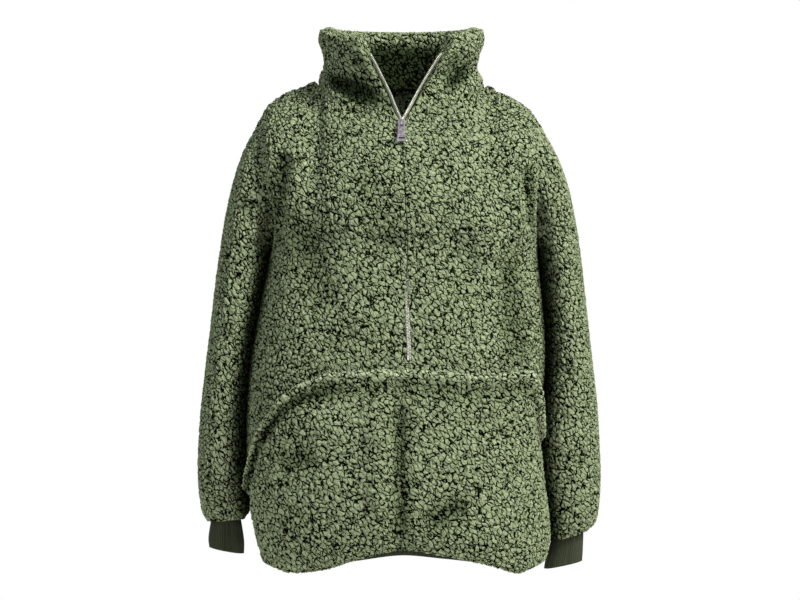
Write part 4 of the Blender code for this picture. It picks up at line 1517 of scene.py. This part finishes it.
def run_nodes(obj: Piece, tree: bpy.types.NodeTree, values: dict) -> Piece:
    """Runs a geometry node group on an object and keeps the result as its plain mesh.

    Args:
        obj: the object.
        tree: the group.
        values: its inputs, by name.

    Returns:
        The object.
    """
    modifier = obj.modifiers.new(tree.name, "NODES")
    modifier.node_group = tree
    for item in tree.interface.items_tree:
        if item.item_type == "SOCKET" and item.in_out == "INPUT" and item.name in values:
            modifier[item.identifier] = values[item.name]
    graph = bpy.context.evaluated_depsgraph_get()
    graph.update()
    mesh = bpy.data.meshes.new_from_object(
        obj.evaluated_get(graph), preserve_all_data_layers=True, depsgraph=graph,
    )
    obj.modifiers.remove(modifier)
    old = obj.data
    obj.data = mesh
    bpy.data.meshes.remove(old)
    mesh.name = obj.name
    return obj


def tooth_object() -> Piece:
    """One zip tooth: a foot that clasps the tape, a narrower neck and a rounded head, bevelled.

    Returns:
        The tooth, lying along X.
    """
    outline = [(-1.35, -0.55), (-0.2, -0.62), (0.25, -0.42), (0.75, -0.52), (1.15, -0.36), (1.3, 0.0),
               (1.15, 0.36), (0.75, 0.52), (0.25, 0.42), (-0.2, 0.62), (-1.35, 0.55)]
    rings = np.array([[(x, y, z) for x, y in outline] for z in (-0.9, 0.9)])
    tooth = swept("tooth", rings)
    edge = tooth.modifiers.new("edge", "BEVEL")
    edge.width, edge.segments = 0.22 * MM, 1
    return tooth


def linear(colour: str) -> tuple[float, ...]:
    """An sRGB hex colour as linear light.

    Args:
        colour: the colour, as in a style sheet.

    Returns:
        Red, green, blue and alpha.
    """
    parts = [int(colour[k:k + 2], 16) / 255.0 for k in (1, 3, 5)]
    parts = [c / 12.92 if c <= 0.04045 else ((c + 0.055) / 1.055) ** 2.4 for c in parts]
    return (*parts, 1.0)


def shader(name: str, sockets: dict) -> tuple[Material, Graph, Callable]:
    """A material with a Principled surface.

    Args:
        name: the material's name.
        sockets: the surface's constant inputs, by name.

    Returns:
        The material, its graph and a function that links an output to one of the surface's inputs.
    """
    material = bpy.data.materials.new(name)
    material.use_nodes = True
    graph = Graph(material.node_tree)
    surface = graph.add("ShaderNodeBsdfPrincipled", sockets)
    graph.add("ShaderNodeOutputMaterial", {"Surface": surface})

    def link(value: Socket, name: str) -> None:
        """Links an output to the surface's input of that name."""
        graph.tree.links.new(value, surface.node.inputs[name])

    return material, graph, link


@dataclass(frozen=True)
class SherpaFinish:
    """Olive curly polyester sherpa: painted shade near black in its cracks, sage tips partly painted
    light.

    Attributes:
        size: across one tuft, in metres.
        crack, low, body, tip: its colours, from the cracks up; crack and low are painted shade, body the
            olive's own, tip its paler fibres and a painted highlight on the tufts' tops.
        reach: how wide the painted shade on the cracks' sides is, as a share of a tuft.
        shade: how far the painted shade that the pieces store as inside takes the colour to the cracks'.
    """

    size: float
    crack: str = "#040601"
    low: str = "#283221"
    body: str = "#566048"
    tip: str = "#8c987d"
    reach: float = 0.135
    shade: float = -0.40

    def build(self) -> Material:
        """Makes the material, with curls of 1 to 3 mm and fibres drawn as coarse as they show.

        Returns:
            The material.
        """
        # Crimped fibres scatter light every way, so the pile has no gloss and its cracks stay dark: real
        # shadow, deepened by painted shade
        material, graph, link = shader("olive_sherpa_fleece", {
            "Roughness": 0.95, "Specular IOR Level": 0.0,
        })
        where = graph.add(ATTRIBUTE, attribute_name="rest", out="Vector")
        crack, tuft = TuftPattern().build(graph, where, self.size, self.reach)
        fibres = graph.add(NOISE, {"Vector": where, "Scale": 800.0, "Detail": 4.0})
        patches = graph.add(NOISE, {"Vector": where, "Scale": 16.0, "Detail": 3.0})
        patches = graph.add(MATH, patches, 0.5, operation="SUBTRACT")
        above = graph.add(MATH, tuft, TUFT_LEVEL, operation="SUBTRACT")
        # Painted shade stored by the pieces: sleeve and body meeting, fold troughs, collar dents and
        # inner side, pocket groove; below zero, a painted highlight on the pocket's ridge
        inside = graph.add(ATTRIBUTE, attribute_name="inside", out="Fac")
        mixed = graph.add(MATH, fibres, 0.30, 0.52, operation="MULTIPLY_ADD")
        # Fibres and patches are the fleece's own tone; crack and inside add painted shade, and above
        # lightens the tufts' tops and darkens their sides, painted light and shade
        for value, share in ((crack, -0.72), (patches, 0.06), (above, 0.22), (inside, self.shade)):
            mixed = graph.add(MATH, value, share, mixed, operation="MULTIPLY_ADD")
        stops = ((0.20, self.crack), (0.42, self.low), (0.62, self.body), (0.95, self.tip))
        link(graph.add(RAMP, mixed, stops=stops), "Base Color")
        fine = graph.add(BUMP, {"Height": fibres, "Strength": 0.6, "Distance": 0.0009})
        relief = {"Height": tuft, "Strength": 1.0, "Distance": 0.010, "Normal": fine}
        link(graph.add(BUMP, relief), "Normal")
        return material


@dataclass(frozen=True)
class RibFinish:
    """Dark olive cotton rib knit: small loops up each rib, with painted shade in the furrows."""

    # furrow is painted shade in the furrows; crown is the rib's own colour
    furrow: str = "#0c0f08"
    crown: str = "#23281a"
    loop: float = 0.0013

    def build(self) -> Material:
        """Makes the material; loops are 1.3 mm high.

        Returns:
            The material.
        """
        # Cotton yarn has a short soft fuzz, so the rib is dull with the faintest light edge
        material, graph, link = shader("olive_rib_knit", {
            "Roughness": 0.9, "Sheen Weight": 0.03, "Sheen Roughness": 0.5, "Specular IOR Level": 0.1,
        })
        where = graph.add(COORDINATE, out="Object")
        depth = graph.add(ATTRIBUTE, attribute_name="furrow", out="Fac")
        height = graph.add("ShaderNodeSeparateXYZ", where, out="Z")
        loops = graph.add(MATH, height, 2.0 * math.pi / self.loop, operation="MULTIPLY")
        loops = graph.add(MATH, loops, operation="SINE")
        fuzz = graph.add(NOISE, {"Vector": where, "Scale": 900.0, "Detail": 3.0})
        mixed = graph.add(MATH, fuzz, 0.5, 0.55, operation="MULTIPLY_ADD")
        # Painted shade, darker the deeper down a furrow
        mixed = graph.add(MATH, mixed, depth, operation="SUBTRACT")
        # Each loop's rise and fall adds a little painted light and shade
        mixed = graph.add(MATH, loops, 0.06, mixed, operation="MULTIPLY_ADD")
        link(graph.add(RAMP, mixed, stops=((0.0, self.furrow), (0.85, self.crown))), "Base Color")
        relief = graph.add(MATH, loops, 0.5, fuzz, operation="MULTIPLY_ADD")
        link(graph.add(BUMP, {"Height": relief, "Strength": 0.5, "Distance": 0.0005}), "Normal")
        return material


@dataclass(frozen=True)
class TapeFinish:
    """Grey-green woven polyester zip tape, in a fine herringbone."""

    weft: str = "#565c4e"
    warp: str = "#7d8373"
    thread: float = 0.0005
    stripe: float = 0.0015

    def build(self) -> Material:
        """Makes the material; its threads are 0.5 mm apart.

        Returns:
            The material.
        """
        # Tight filament weave is smoother than the pile, so it holds a broad pale shine
        material, graph, link = shader("woven_zip_tape", {"Roughness": 0.75, "Sheen Weight": 0.1})
        where = graph.add(COORDINATE, out="Object")
        parts = graph.add("ShaderNodeSeparateXYZ", where).node.outputs
        turned = graph.add(MATH, parts["X"], self.stripe, operation="PINGPONG")
        slant = graph.add(MATH, parts["Z"], turned, operation="ADD")
        weave = graph.add(MATH, slant, 2.0 * math.pi / self.thread, operation="MULTIPLY")
        weave = graph.add(MATH, weave, operation="SINE")
        level = graph.add(MATH, weave, 0.5, 0.5, operation="MULTIPLY_ADD")
        link(graph.add(RAMP, level, stops=((0.0, self.weft), (1.0, self.warp))), "Base Color")
        link(graph.add(BUMP, {"Height": weave, "Strength": 0.4, "Distance": 0.0002}), "Normal")
        return material


@dataclass(frozen=True)
class MetalFinish:
    """Plated zip metal: bright, faintly scratched, duller where it is handled."""

    name: str
    colour: str
    worn: str
    roughness: float

    def build(self) -> Material:
        """Makes the material; scratches are a few tenths of a millimetre wide.

        Returns:
            The material.
        """
        # Plating mirrors the room, and the haze of handling blurs and darkens it in places
        material, graph, link = shader(self.name, {"Metallic": 1.0})
        where = graph.add(COORDINATE, out="Object")
        haze = graph.add(NOISE, {"Vector": where, "Scale": 260.0, "Detail": 3.0})
        drawn = graph.add(VECTOR, where, (1.0, 1.0, 0.15), operation="MULTIPLY")
        lines = graph.add(NOISE, {"Vector": drawn, "Scale": 2600.0, "Detail": 2.0})
        link(graph.add(RAMP, haze, stops=((0.35, self.worn), (0.6, self.colour))), "Base Color")
        rough = graph.add(MATH, haze, 0.18, self.roughness, operation="MULTIPLY_ADD")
        link(rough, "Roughness")
        link(graph.add(BUMP, {"Height": lines, "Strength": 0.12, "Distance": 0.0001}), "Normal")
        return material


def slider_frame(front: Cloth) -> tuple[Array, Array, Array]:
    """Where the slider sits: its middle, the way down the cloth and the way out of it.

    Args:
        front: the front panel.

    Returns:
        The middle, the way down and the way out.
    """
    last = front.grid.shape[0] - 1
    top, _ = slit_edge(front, last)
    below, _ = slit_edge(front, last - STEPS)
    out = np.cross(below - top, RIGHT)
    out = unit(out * [0, 1, 1])
    down = np.cross(RIGHT, out)
    return top + down * SLIDER_DROP, down, out


def placed(obj: Piece, place: tuple, across: float, along: float, out: float) -> Piece:
    """Moves an object built flat (X across, Y up the zip, Z out) onto the slider's frame.

    Args:
        obj: the object.
        place: the slider's frame.
        across: how far to the right it goes.
        along: how far down the zip.
        out: how far off the cloth.

    Returns:
        The object.
    """
    middle, down, away = place
    spot = middle + RIGHT * across + down * along + away * out
    turn = Matrix([(RIGHT[k], -down[k], away[k]) for k in range(3)]).to_4x4()
    obj.data.transform(Matrix.Translation(Vector(spot * MM)) @ turn)
    return obj


def plate(
    name: str,
    outline: list,
    holes: list,
    thick: float,
    edge: float,
    corner: float = 0.0,
) -> Piece:
    """A flat plate with holes and rounded edges, built flat.

    Args:
        name: the piece's name.
        outline: its corners, in order, in millimetres.
        holes: the outlines of its holes.
        thick: its thickness.
        edge: the radius of its edges.
        corner: how far each corner is rounded off.

    Returns:
        The object.
    """
    curve = bpy.data.curves.new(name, "CURVE")
    curve.dimensions, curve.fill_mode = "2D", "BOTH"
    curve.extrude, curve.bevel_depth, curve.bevel_resolution = (thick / 2.0 - edge) * MM, edge * MM, 2
    curve.offset = -edge * MM
    for corners in [outline] + holes:
        points = rounded(corners, corner if corners is outline else corner * 0.6)
        spline = curve.splines.new("POLY")
        spline.points.add(len(points) - 1)
        for point, (x, y) in zip(spline.points, points):
            point.co = (x * MM, y * MM, 0.0, 1.0)
        spline.use_cyclic_u = True
    made = bpy.data.objects.new(name, curve)
    bpy.context.scene.collection.objects.link(made)
    graph = bpy.context.evaluated_depsgraph_get()
    graph.update()
    mesh = bpy.data.meshes.new_from_object(made.evaluated_get(graph), depsgraph=graph)
    bpy.data.objects.remove(made, do_unlink=True)
    bpy.data.curves.remove(curve)
    obj = bpy.data.objects.new(name, mesh)
    bpy.context.scene.collection.objects.link(obj)
    mesh.shade_smooth()
    mesh.set_sharp_from_angle(angle=math.radians(55))
    return obj


def box(wide: float, long: float) -> list:
    """A rectangle's corners, from its upper left one on."""
    half, end = wide / 2.0, long / 2.0
    return [(-half, end), (half, end), (half, -end), (-half, -end)]


def rounded(corners: list, radius: float, steps: int = 4) -> list:
    """An outline with each corner rounded off by a short curve.

    Args:
        corners: the outline's corners.
        radius: how far from each its curve starts.
        steps: how many parts each curve has.

    Returns:
        The outline's points.
    """
    if radius <= 0.0:
        return list(corners)
    out = []
    count = len(corners)
    for k in range(count):
        before, here, after = (np.array(corners[(k + d) % count], float) for d in (-1, 0, 1))
        reach = [min(radius, np.linalg.norm(p - here) * 0.45) for p in (before, after)]
        start = here + unit(before - here) * reach[0]
        end = here + unit(after - here) * reach[1]
        for i in range(steps + 1):
            t = i / steps
            out.append(tuple(start * (1 - t) ** 2 + here * 2 * t * (1 - t) + end * t ** 2))
    return out


def wire(name: str, path: list, radius: float, around: int = 10) -> Piece:
    """A round wire along a path of points.

    Args:
        name: the piece's name.
        path: its middle line.
        radius: its radius.
        around: how many points go round.

    Returns:
        The object.
    """
    path = np.array(path, float)
    way = unit(np.gradient(path, axis=0))
    side = unit(np.cross(way, RIGHT))
    turns = np.linspace(0.0, 2.0 * math.pi, around, endpoint=False)
    rings = np.array([
        p + radius * (math.cos(a) * RIGHT + math.sin(a) * s) for p, s in zip(path, side) for a in turns
    ])
    return swept(name, rings.reshape(len(path), around, 3))


def joined(name: str, pieces: list[Piece]) -> Piece:
    """Several objects as one.

    Args:
        name: the whole's name.
        pieces: the objects to join.

    Returns:
        The whole.
    """
    with bpy.context.temp_override(active_object=pieces[0], selected_editable_objects=pieces):
        bpy.ops.object.join()
    pieces[0].name = pieces[0].data.name = name
    return pieces[0]


@dataclass(frozen=True)
class Slider:
    """The slider: two plates on a post round the teeth, two raised rails, and the tab's loop."""

    wide: float = 10.5
    long: float = 14.0
    thick: float = 3.0
    out: float = 2.8
    waist: float = 0.72
    rail_wide: float = 1.0
    rail_long: float = 7.0
    rail_apart: float = 2.6
    bail_radius: float = 2.3
    bail_thick: float = 1.2
    bail_leg: float = 2.6

    def build(self, place: tuple) -> Piece:
        """Makes the slider in one piece and puts it on the zip.

        Args:
            place: the slider's frame.

        Returns:
            The slider.
        """
        half, long, thick = self.wide / 2.0, self.long / 2.0, self.thick
        waist = half * self.waist
        outline = [
            (-half, long), (half, long), (half, -1.0), (waist, -long), (-waist, -long), (-half, -1.0),
        ]
        behind = [(x * 0.92, y * 0.92) for x, y in outline]
        rail = box(self.rail_wide, self.rail_long)
        parts = []
        for name, shape, deep, edge, corner, spot in (
            ("face", outline, thick * 0.7, 0.5, 1.6, (0.0, 0.0, thick * 0.15)),
            ("back", behind, 1.1, 0.3, 1.4, (0.0, 0.0, -thick * 1.25)),
            ("post", box(1.6, 2.4), thick * 1.6, 0.2, 0.0, (0.0, 3.6, -thick * 0.5)),
            ("rail", rail, 1.2, 0.3, 0.4, (-self.rail_apart, 0.8, thick * 0.62)),
            ("rail", rail, 1.2, 0.3, 0.4, (self.rail_apart, 0.8, thick * 0.62)),
        ):
            piece = plate(name, shape, [], deep, edge, corner)
            piece.data.transform(Matrix.Translation([v * MM for v in spot]))
            parts.append(placed(piece, place, 0.0, 0.0, self.out))
        reach = self.bail_radius
        path = [(0.0, reach, -self.bail_leg)]
        path += [(0.0, reach * math.cos(a), reach * math.sin(a)) for a in np.linspace(0.0, math.pi, 13)]
        path.append((0.0, -reach, -self.bail_leg))
        loop = wire("loop", path, self.bail_thick / 2.0)
        parts.append(placed(loop, place, 0.0, AXIS_ALONG, AXIS_OUT))
        return joined("zip_slider_body", parts)


@dataclass(frozen=True)
class PullTab:
    """The pull tab: wider at its foot, with an eye round the slider's loop and a slot at its foot."""

    top_wide: float = 10.0
    wide: float = 15.0
    long: float = 31.0
    above: float = 1.0
    thick: float = 1.6
    flare: float = 0.55
    corner: float = 1.8
    eye_half: float = 2.2
    slot_half: float = 4.0

    def build(self, place: tuple) -> Piece:
        """Makes the tab hanging from the loop.

        Args:
            place: the slider's frame.

        Returns:
            The tab.
        """
        top, foot, low, cut = self.top_wide / 2.0, self.wide / 2.0, -self.long, self.corner
        flare = low * self.flare
        outline = [
            (-top + 1.0, self.above), (top - 1.0, self.above), (top, 0.0), (top, flare),
            (foot, low + cut), (foot - cut, low), (-foot + cut, low), (-foot, low + cut),
            (-top, flare), (-top, 0.0),
        ]
        eye, slot = self.eye_half, self.slot_half
        holes = [
            [(-eye, -0.75), (eye, -0.75), (eye * 0.5, -4.6), (-eye * 0.5, -4.6)],
            [(-slot, -23.5), (slot, -23.5), (slot, -26.5), (-slot, -26.5)],
        ]
        body = plate("body", outline, holes, self.thick * 0.8, 0.35, 1.0)
        middle = [
            (-top + 1.4, -6.2), (top - 1.4, -6.2), (top - 1.4, -17.0), (foot - 2.6, -20.5),
            (-foot + 2.6, -20.5), (-top + 1.4, -17.0),
        ]
        raised = plate("raised", middle, [], self.thick * 0.5, 0.25, 0.8)
        raised.data.transform(Matrix.Translation((0, 0, self.thick * 0.32 * MM)))
        parts = [placed(piece, place, 0.0, AXIS_ALONG, AXIS_OUT) for piece in (body, raised)]
        return joined("pull_tab_plate", parts)


@dataclass(frozen=True)
class Declared:
    """What a piece stands for: its CAD node and body, then its slot, flat cut and area, which are not
    used.
    """

    node: str
    slot: Slot
    body: str = "garment"
    flat: tuple = ()
    area: float = 0.0


def declare(obj: Piece, told: Declared) -> None:
    """Hides the CAD part that a piece stands for, hangs the piece on its body, and reports it.

    Args:
        obj: the piece.
        told: its facts.
    """
    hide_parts(told.node)
    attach(obj, told.body)
    report(obj)


def report(obj: Piece) -> None:
    """Logs a piece's triangles and the half of its surface.

    Args:
        obj: the piece.
    """
    mesh = obj.data
    mesh.calc_loop_triangles()
    area = sum(p.area for p in mesh.polygons)
    LOG.info("%s: %d triangles, half surface %.4f m2", obj.name, len(mesh.loop_triangles), area / 2.0)


def finish_plain(obj: Piece, material: Material) -> Piece:
    """Gives a piece one material.

    Args:
        obj: the piece.
        material: its finish.

    Returns:
        The piece.
    """
    obj.data.materials.clear()
    obj.data.materials.append(material)
    return obj


@dataclass(frozen=True)
class Garment:
    """The whole pullover: builds its pieces in sewing order and dresses the frame with them.

    Attributes:
        tuft_height: from the cracks between tufts to their tips, in metres.
        tuft_size: across one tuft.
        seam_reach: how far from a seam the pile is pulled in, in millimetres.
        seam_pile: how much of the pile is left at a seam.
        contact_shade_reach: how far the painted shade between sleeve and body reaches, in millimetres.
    """

    tuft_height: float = 0.0046
    tuft_size: float = 0.0064
    seam_reach: float = 5.0
    seam_pile: float = 0.75
    contact_shade_reach: float = 32.0

    def cloths(self) -> dict[str, Cloth]:
        """The fleece pieces' outsides, folded, with one direction along each seam.

        Returns:
            The cloths, by the piece's name.
        """
        front, back = panel(FRONT), panel(BACK)
        sew(front, back)
        cloths = {"front": Cloth(front), "back": Cloth(back, flip=True)}
        cloths["front"].slit_down(ZIP_END_ROW * STEPS)
        for name, column, table in (("sleeve_left", 0, SLEEVE_LEFT), ("sleeve_right", -1, SLEEVE_RIGHT)):
            points = sleeve(armhole_edge(front, back, column), table)
            cloths[name] = Cloth(points, wrap=True, flip=column == 0)
        share_normals(list(cloths.values()))
        for cloth in cloths.values():
            cloth.points = cloth.points + cloth.normals * fold_depth(cloth.points, cloth.normals)[:, None]
        share_normals(list(cloths.values()))
        return cloths

    def beside(self, cloths: dict[str, Cloth], name: str) -> Array:
        """The points near which a piece gets painted shade: the sleeves' on the body, and the other way.

        Args:
            cloths: the fleece pieces.
            name: the piece that gets the painted shade.

        Returns:
            The points.
        """
        others = ("front", "back") if name.startswith("sleeve") else ("sleeve_left", "sleeve_right")
        found = []
        for other in others:
            points = cloths[other].points[cloths[other].grid]
            body = np.s_[: len(BODY) * STEPS: 3]
            rows = np.s_[3 * STEPS:: 3] if other.startswith("sleeve") else body
            found.append(points[rows][:, ::3].reshape(-1, 3))
        points = np.concatenate(found)
        return points[points[:, 2] < ARMHOLE[0].left_z - UNDERARM_FREE]

    def panel_piece(self, name: str, cloth: Cloth, touched: Array) -> Piece:
        """A fleece piece as a walled mesh that knows how full its pile is, and where it gets painted
        shade.

        Args:
            name: the piece's name.
            cloth: its outside.
            touched: the points whose nearness paints shade on it.

        Returns:
            The piece.
        """
        points, faces, lining = cloth.walled(FLEECE)
        edge = cloth.points[cloth.edge_points()]
        if cloth.slit is not None:
            middle = cloth.points[cloth.grid[-1, cloth.slit]][0]
            edge = edge[np.abs(edge[:, 0] - middle) > SLIT_FREE]
        weight = 1.0 - (1.0 - self.seam_pile) * near(cloth.points, edge, self.seam_reach)
        # Painted shade in fold troughs and where sleeve and body meet, stored as inside
        folds = FOLD_SHADE * troughs(cloth.points, cloth.normals)
        painted_shade = np.maximum(near(cloth.points, touched, self.contact_shade_reach), folds)
        inside = np.concatenate([painted_shade, np.zeros(lining.sum())])
        out = np.zeros_like(points)
        out[~lining] = cloth.normals
        return new_piece(name + "_cloth", points, faces, flat=cloth.rims, out=out, inside=inside,
                         pile=np.concatenate([weight, np.zeros(lining.sum())]))

    def add_fleece(
        self,
        cloths: dict[str, Cloth],
        sections: tuple[Array, Array],
        material: Material,
    ) -> None:
        """Makes the fleece pieces and grows their pile.

        Args:
            cloths: the fleece pieces' outsides.
            sections: the collar's sections and its dents.
            material: the sherpa.
        """
        flats = {
            "front": ((0.66, 0.74), 0.36), "back": ((0.66, 0.76), 0.38),
            "sleeve_left": ((0.40, 0.60), 0.19), "sleeve_right": ((0.40, 0.62), 0.19),
            "collar": ((0.52, 0.15), 0.075), "pocket": ((0.50, 0.30), 0.12),
        }
        pieces = {}
        for name, cloth in cloths.items():
            pieces[name] = self.panel_piece(name, cloth, self.beside(cloths, name))
        pieces["collar"] = Collar().build(*sections)
        pieces["pocket"] = Pocket().build(cloths["front"])
        tree = pile_group()
        sizes = {"Tuft height": self.tuft_height, "Tuft size": self.tuft_size, "Finish": material}
        for name, obj in pieces.items():
            run_nodes(obj, tree, sizes)
            flat, area = flats[name]
            declare(obj, Declared(name, Slot.FLEECE, flat=flat, area=area))

    def add_ribs(self, cloths: dict[str, Cloth], material: Material) -> None:
        """Makes the cuffs and the hem band.

        Args:
            cloths: the fleece pieces' outsides.
            material: the rib knit.
        """
        cuff = RibTube(ribs=62, relief=1.1)
        left = cuff.cuff("left", SLEEVE_LEFT, CUFF_LEFT, True, 11)
        right = cuff.cuff("right", SLEEVE_RIGHT, CUFF_RIGHT, False, 12)
        band = RibTube(ribs=300, relief=0.9).band(cloths["front"], cloths["back"], 13)
        for obj, name, flat, area in (
            (left, "cuff_left", (0.18, 0.055), 0.0095),
            (right, "cuff_right", (0.18, 0.055), 0.0095),
            (band, "hem_band", (0.98, 0.04), 0.035),
        ):
            declare(finish_plain(obj, material), Declared(name, Slot.RIB, flat=flat, area=area))

    def add_zip(self, cloths: dict[str, Cloth], loops: Array, rows: int, materials: tuple) -> None:
        """Makes both sides of the zip, each a tape and its teeth.

        Args:
            cloths: the fleece pieces' outsides.
            loops: the collar's sections.
            rows: fine points between two control points of a section.
            materials: the tape's and the teeth's.
        """
        tooth, tree = tooth_object(), teeth_group()
        for name, side in (("zip_left", -1), ("zip_right", 1)):
            path = ZipPath(cloths["front"], loops, side, rows)
            tape = finish_plain(swept(name + "_tape", path.tape()), materials[0])
            places, along, outward = path.teeth()
            teeth = new_piece(name + "_teeth", places, [], along=along, outward=outward)
            run_nodes(teeth, tree, {"Tooth": tooth, "Finish": materials[1]})
            declare(teeth, Declared(name, Slot.METAL))
            declare(tape, Declared(name, Slot.TAPE))
        bpy.data.objects.remove(tooth, do_unlink=True)

    def build(self) -> None:
        """Makes every piece and dresses the frame."""
        fleece = SherpaFinish(self.tuft_size).build()
        rib, tape = RibFinish().build(), TapeFinish().build()
        teeth = MetalFinish("antique_silver_zip_teeth", "#b6b8b0", "#8b8d84", 0.36).build()
        bright = MetalFinish("polished_nickel_slider", "#8d8a90", "#6d6a70", 0.22).build()
        cloths = self.cloths()
        sections = Collar().loops(cloths["front"], cloths["back"])
        self.add_fleece(cloths, sections, fleece)
        self.add_ribs(cloths, rib)
        self.add_zip(cloths, sections[0], Collar().rows, (tape, teeth))
        place = slider_frame(cloths["front"])
        for made, node, body in (
            (Slider().build(place), "zip_slider", "garment"),
            (PullTab().build(place), "pull_tab", "pull_tab"),
        ):
            declare(finish_plain(made, bright), Declared(node, Slot.METAL, body=body))
        finish_plain(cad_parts["zip_stop"], teeth)


@dataclass(frozen=True)
class Lamp:
    """A soft rectangular studio light, aimed at the chest."""

    name: str
    place: tuple
    wide: float
    watts: float
    colour: str = "#ffffff"

    def build(self, target: tuple) -> Piece:
        """Makes the light.

        Args:
            target: the point that it is aimed at.

        Returns:
            The light's object.
        """
        data = bpy.data.lights.new(self.name, "AREA")
        data.shape, data.size, data.energy = "SQUARE", self.wide, self.watts
        data.color = linear(self.colour)[:3]
        obj = bpy.data.objects.new(self.name, data)
        obj.location = self.place
        obj.rotation_euler = (Vector(target) - Vector(self.place)).to_track_quat("-Z", "Y").to_euler()
        bpy.context.scene.collection.objects.link(obj)
        return obj


@dataclass(frozen=True)
class Studio:
    """A pale studio: seamless white surround, plain floor, soft lights and the camera.

    Attributes:
        distance: from the camera to the garment's middle.
        wide: the width that the frame shows there.
        aim: the point in the frame's middle.
        floor: the floor's height.
    """

    distance: float = 4.2
    wide: float = 1.12
    aim: tuple = (-0.004, 0.0, -0.291)
    floor: float = -0.86

    def build(self) -> None:
        """Makes the floor, the lights, the surround and the camera."""
        scene = bpy.context.scene
        scene.view_settings.view_transform = "Standard"
        world = bpy.data.worlds.new("white surround")
        world.use_nodes = True
        world.node_tree.nodes["Background"].inputs["Color"].default_value = (1.0, 1.0, 1.0, 1.0)
        world.node_tree.nodes["Background"].inputs["Strength"].default_value = 1.0
        scene.world = world
        for lamp in (
            Lamp("key", (2.1, -1.7, 2.3), 0.9, 470.0, "#fffaf2"),
            Lamp("front fill", (-0.6, -3.4, 1.3), 2.0, 65.0),
            Lamp("back fill", (-1.2, 3.2, 1.2), 1.8, 190.0),
        ):
            lamp.build(self.aim)
        self.build_floor()
        camera = bpy.data.cameras.new("camera")
        camera.sensor_width = 36.0
        camera.lens = camera.sensor_width * self.distance / self.wide
        obj = bpy.data.objects.new("camera", camera)
        obj.location = (self.aim[0], self.aim[1] - self.distance, self.aim[2])
        obj.rotation_euler = (math.pi / 2.0, 0.0, 0.0)
        scene.collection.objects.link(obj)
        scene.camera = obj

    def build_floor(self) -> None:
        """Makes the round floor plate, its edge softly turned down."""
        turns = np.linspace(0.0, 2.0 * math.pi, 96, endpoint=False)
        circle = np.stack([np.cos(turns), np.sin(turns), 0 * turns], 1)
        edge = ((1.0, 0.0), (1150.0, 0.0), (1160.0, -4.0), (1160.0, -14.0))
        rings = np.array([circle * r + [0, 0, z] for r, z in edge])
        floor = swept("floor", rings + [0, 0, self.floor / MM])
        # Painted board: matt, with the faintest unevenness
        material, graph, link = shader("pale_studio_floor", {"Roughness": 0.8})
        where = graph.add(COORDINATE, out="Object")
        grain = graph.add(NOISE, {"Vector": where, "Scale": 6.0})
        link(graph.add(RAMP, grain, stops=((0.3, "#eceae6"), (0.7, "#f4f3f0"))), "Base Color")
        finish_plain(floor, material)


def main() -> None:
    """Dresses the frame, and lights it."""
    logging.basicConfig(level=logging.INFO, format="%(name)s: %(message)s")
    Garment().build()
    Studio().build()


if __name__ == "__main__":
    main()
